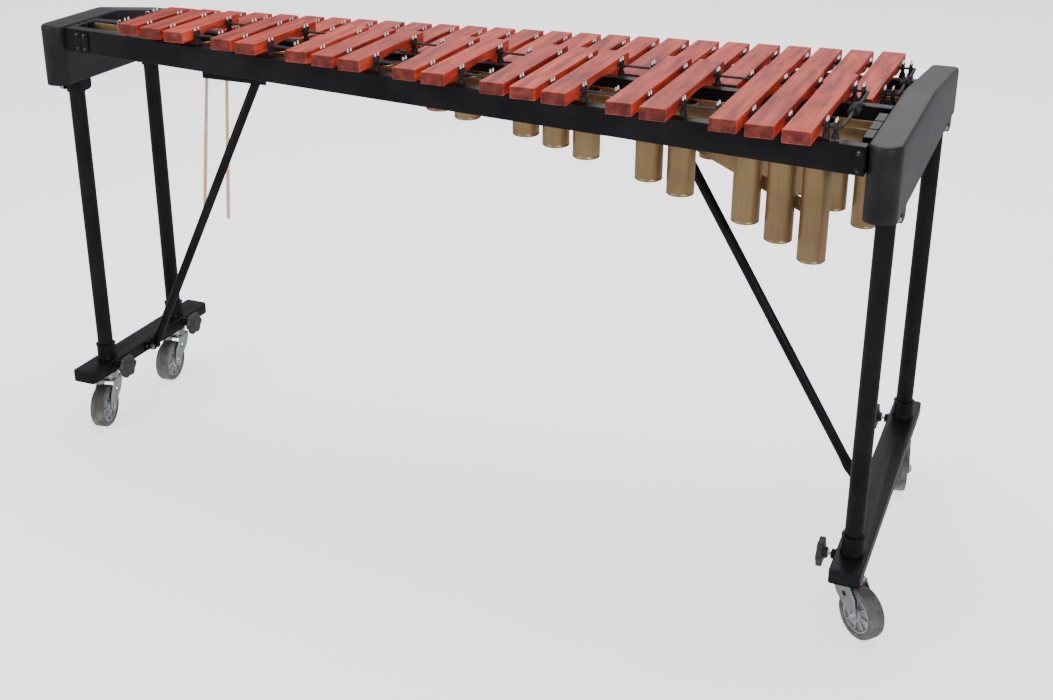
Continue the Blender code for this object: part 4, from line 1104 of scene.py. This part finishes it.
# ---- FLOOR, LIGHT AND CAMERA ----------------------------------------------------------------
floor_mesh = bpy.data.meshes.new("floor")
floor_shape = bmesh.new()
bmesh.ops.create_grid(floor_shape, x_segments=1, y_segments=1, size=60.0)
floor_shape.to_mesh(floor_mesh)
floor_shape.free()
floor = bpy.data.objects.new("floor", floor_mesh)
bpy.context.scene.collection.objects.link(floor)
floor_paint = new_material("studio_floor", (0.93, 0.93, 0.935), 0.85)
floor_shader = floor_paint.node_tree.nodes["Principled BSDF"]
floor_shader.inputs["Emission Color"].default_value = (1.0, 1.0, 1.0, 1.0)
floor_shader.inputs["Emission Strength"].default_value = 1.3
floor_mesh.materials.append(floor_paint)
floor.visible_glossy = False

world = bpy.data.worlds.new("studio")
world.use_nodes = True
world.node_tree.nodes["Background"].inputs["Color"].default_value = (0.93, 0.95, 1.0, 1.0)
world.node_tree.nodes["Background"].inputs["Strength"].default_value = 0.50
bpy.context.scene.world = world


def add_light(name, place, aim, size, power):
    light = bpy.data.lights.new(name, "AREA")
    light.shape = "RECTANGLE"
    light.size, light.size_y = size
    light.energy = power
    obj = bpy.data.objects.new(name, light)
    obj.location = place
    obj.rotation_euler = (Vector(aim) - Vector(place)).to_track_quat("-Z", "Y").to_euler()
    bpy.context.scene.collection.objects.link(obj)


add_light("overhead", (0.0, 0.6, 3.4), (0.0, 0.0, 0.7), (3.2, 2.0), 85.0)
add_light("behind", (-0.4, 3.6, 2.7), (0.0, 0.0, 0.7), (4.0, 1.8), 34.0)
add_light("front_left", (-2.2, -3.0, 2.4), (0.0, 0.0, 0.5), (1.6, 1.6), 55.0)
add_light("front_right", (2.8, -2.6, 1.6), (0.2, 0.0, 0.5), (1.4, 1.4), 35.0)

# The camera looks down on the keyboard from the front right; a small lens shift centres the xylophone.
CAMERA_PLACE = Vector((0.966, -2.1125, 1.3157)) + KEYBOARD
CAMERA_YAW = radians(22.356)
CAMERA_PITCH = radians(-21.774)
CAMERA_ROLL = radians(-0.274)
camera_data = bpy.data.cameras.new("camera")
camera_data.lens = 49.42
camera_data.sensor_width = 36.0
camera_data.shift_y = -0.08
camera_data.clip_end = 200.0
camera = bpy.data.objects.new("camera", camera_data)
camera.rotation_euler = (Matrix.Rotation(CAMERA_YAW, 3, "Z") @ Matrix.Rotation(pi / 2 + CAMERA_PITCH, 3, "X")
                         @ Matrix.Rotation(-CAMERA_ROLL, 3, "Z")).to_euler()
camera.location = CAMERA_PLACE
bpy.context.scene.collection.objects.link(camera)
bpy.context.scene.camera = camera
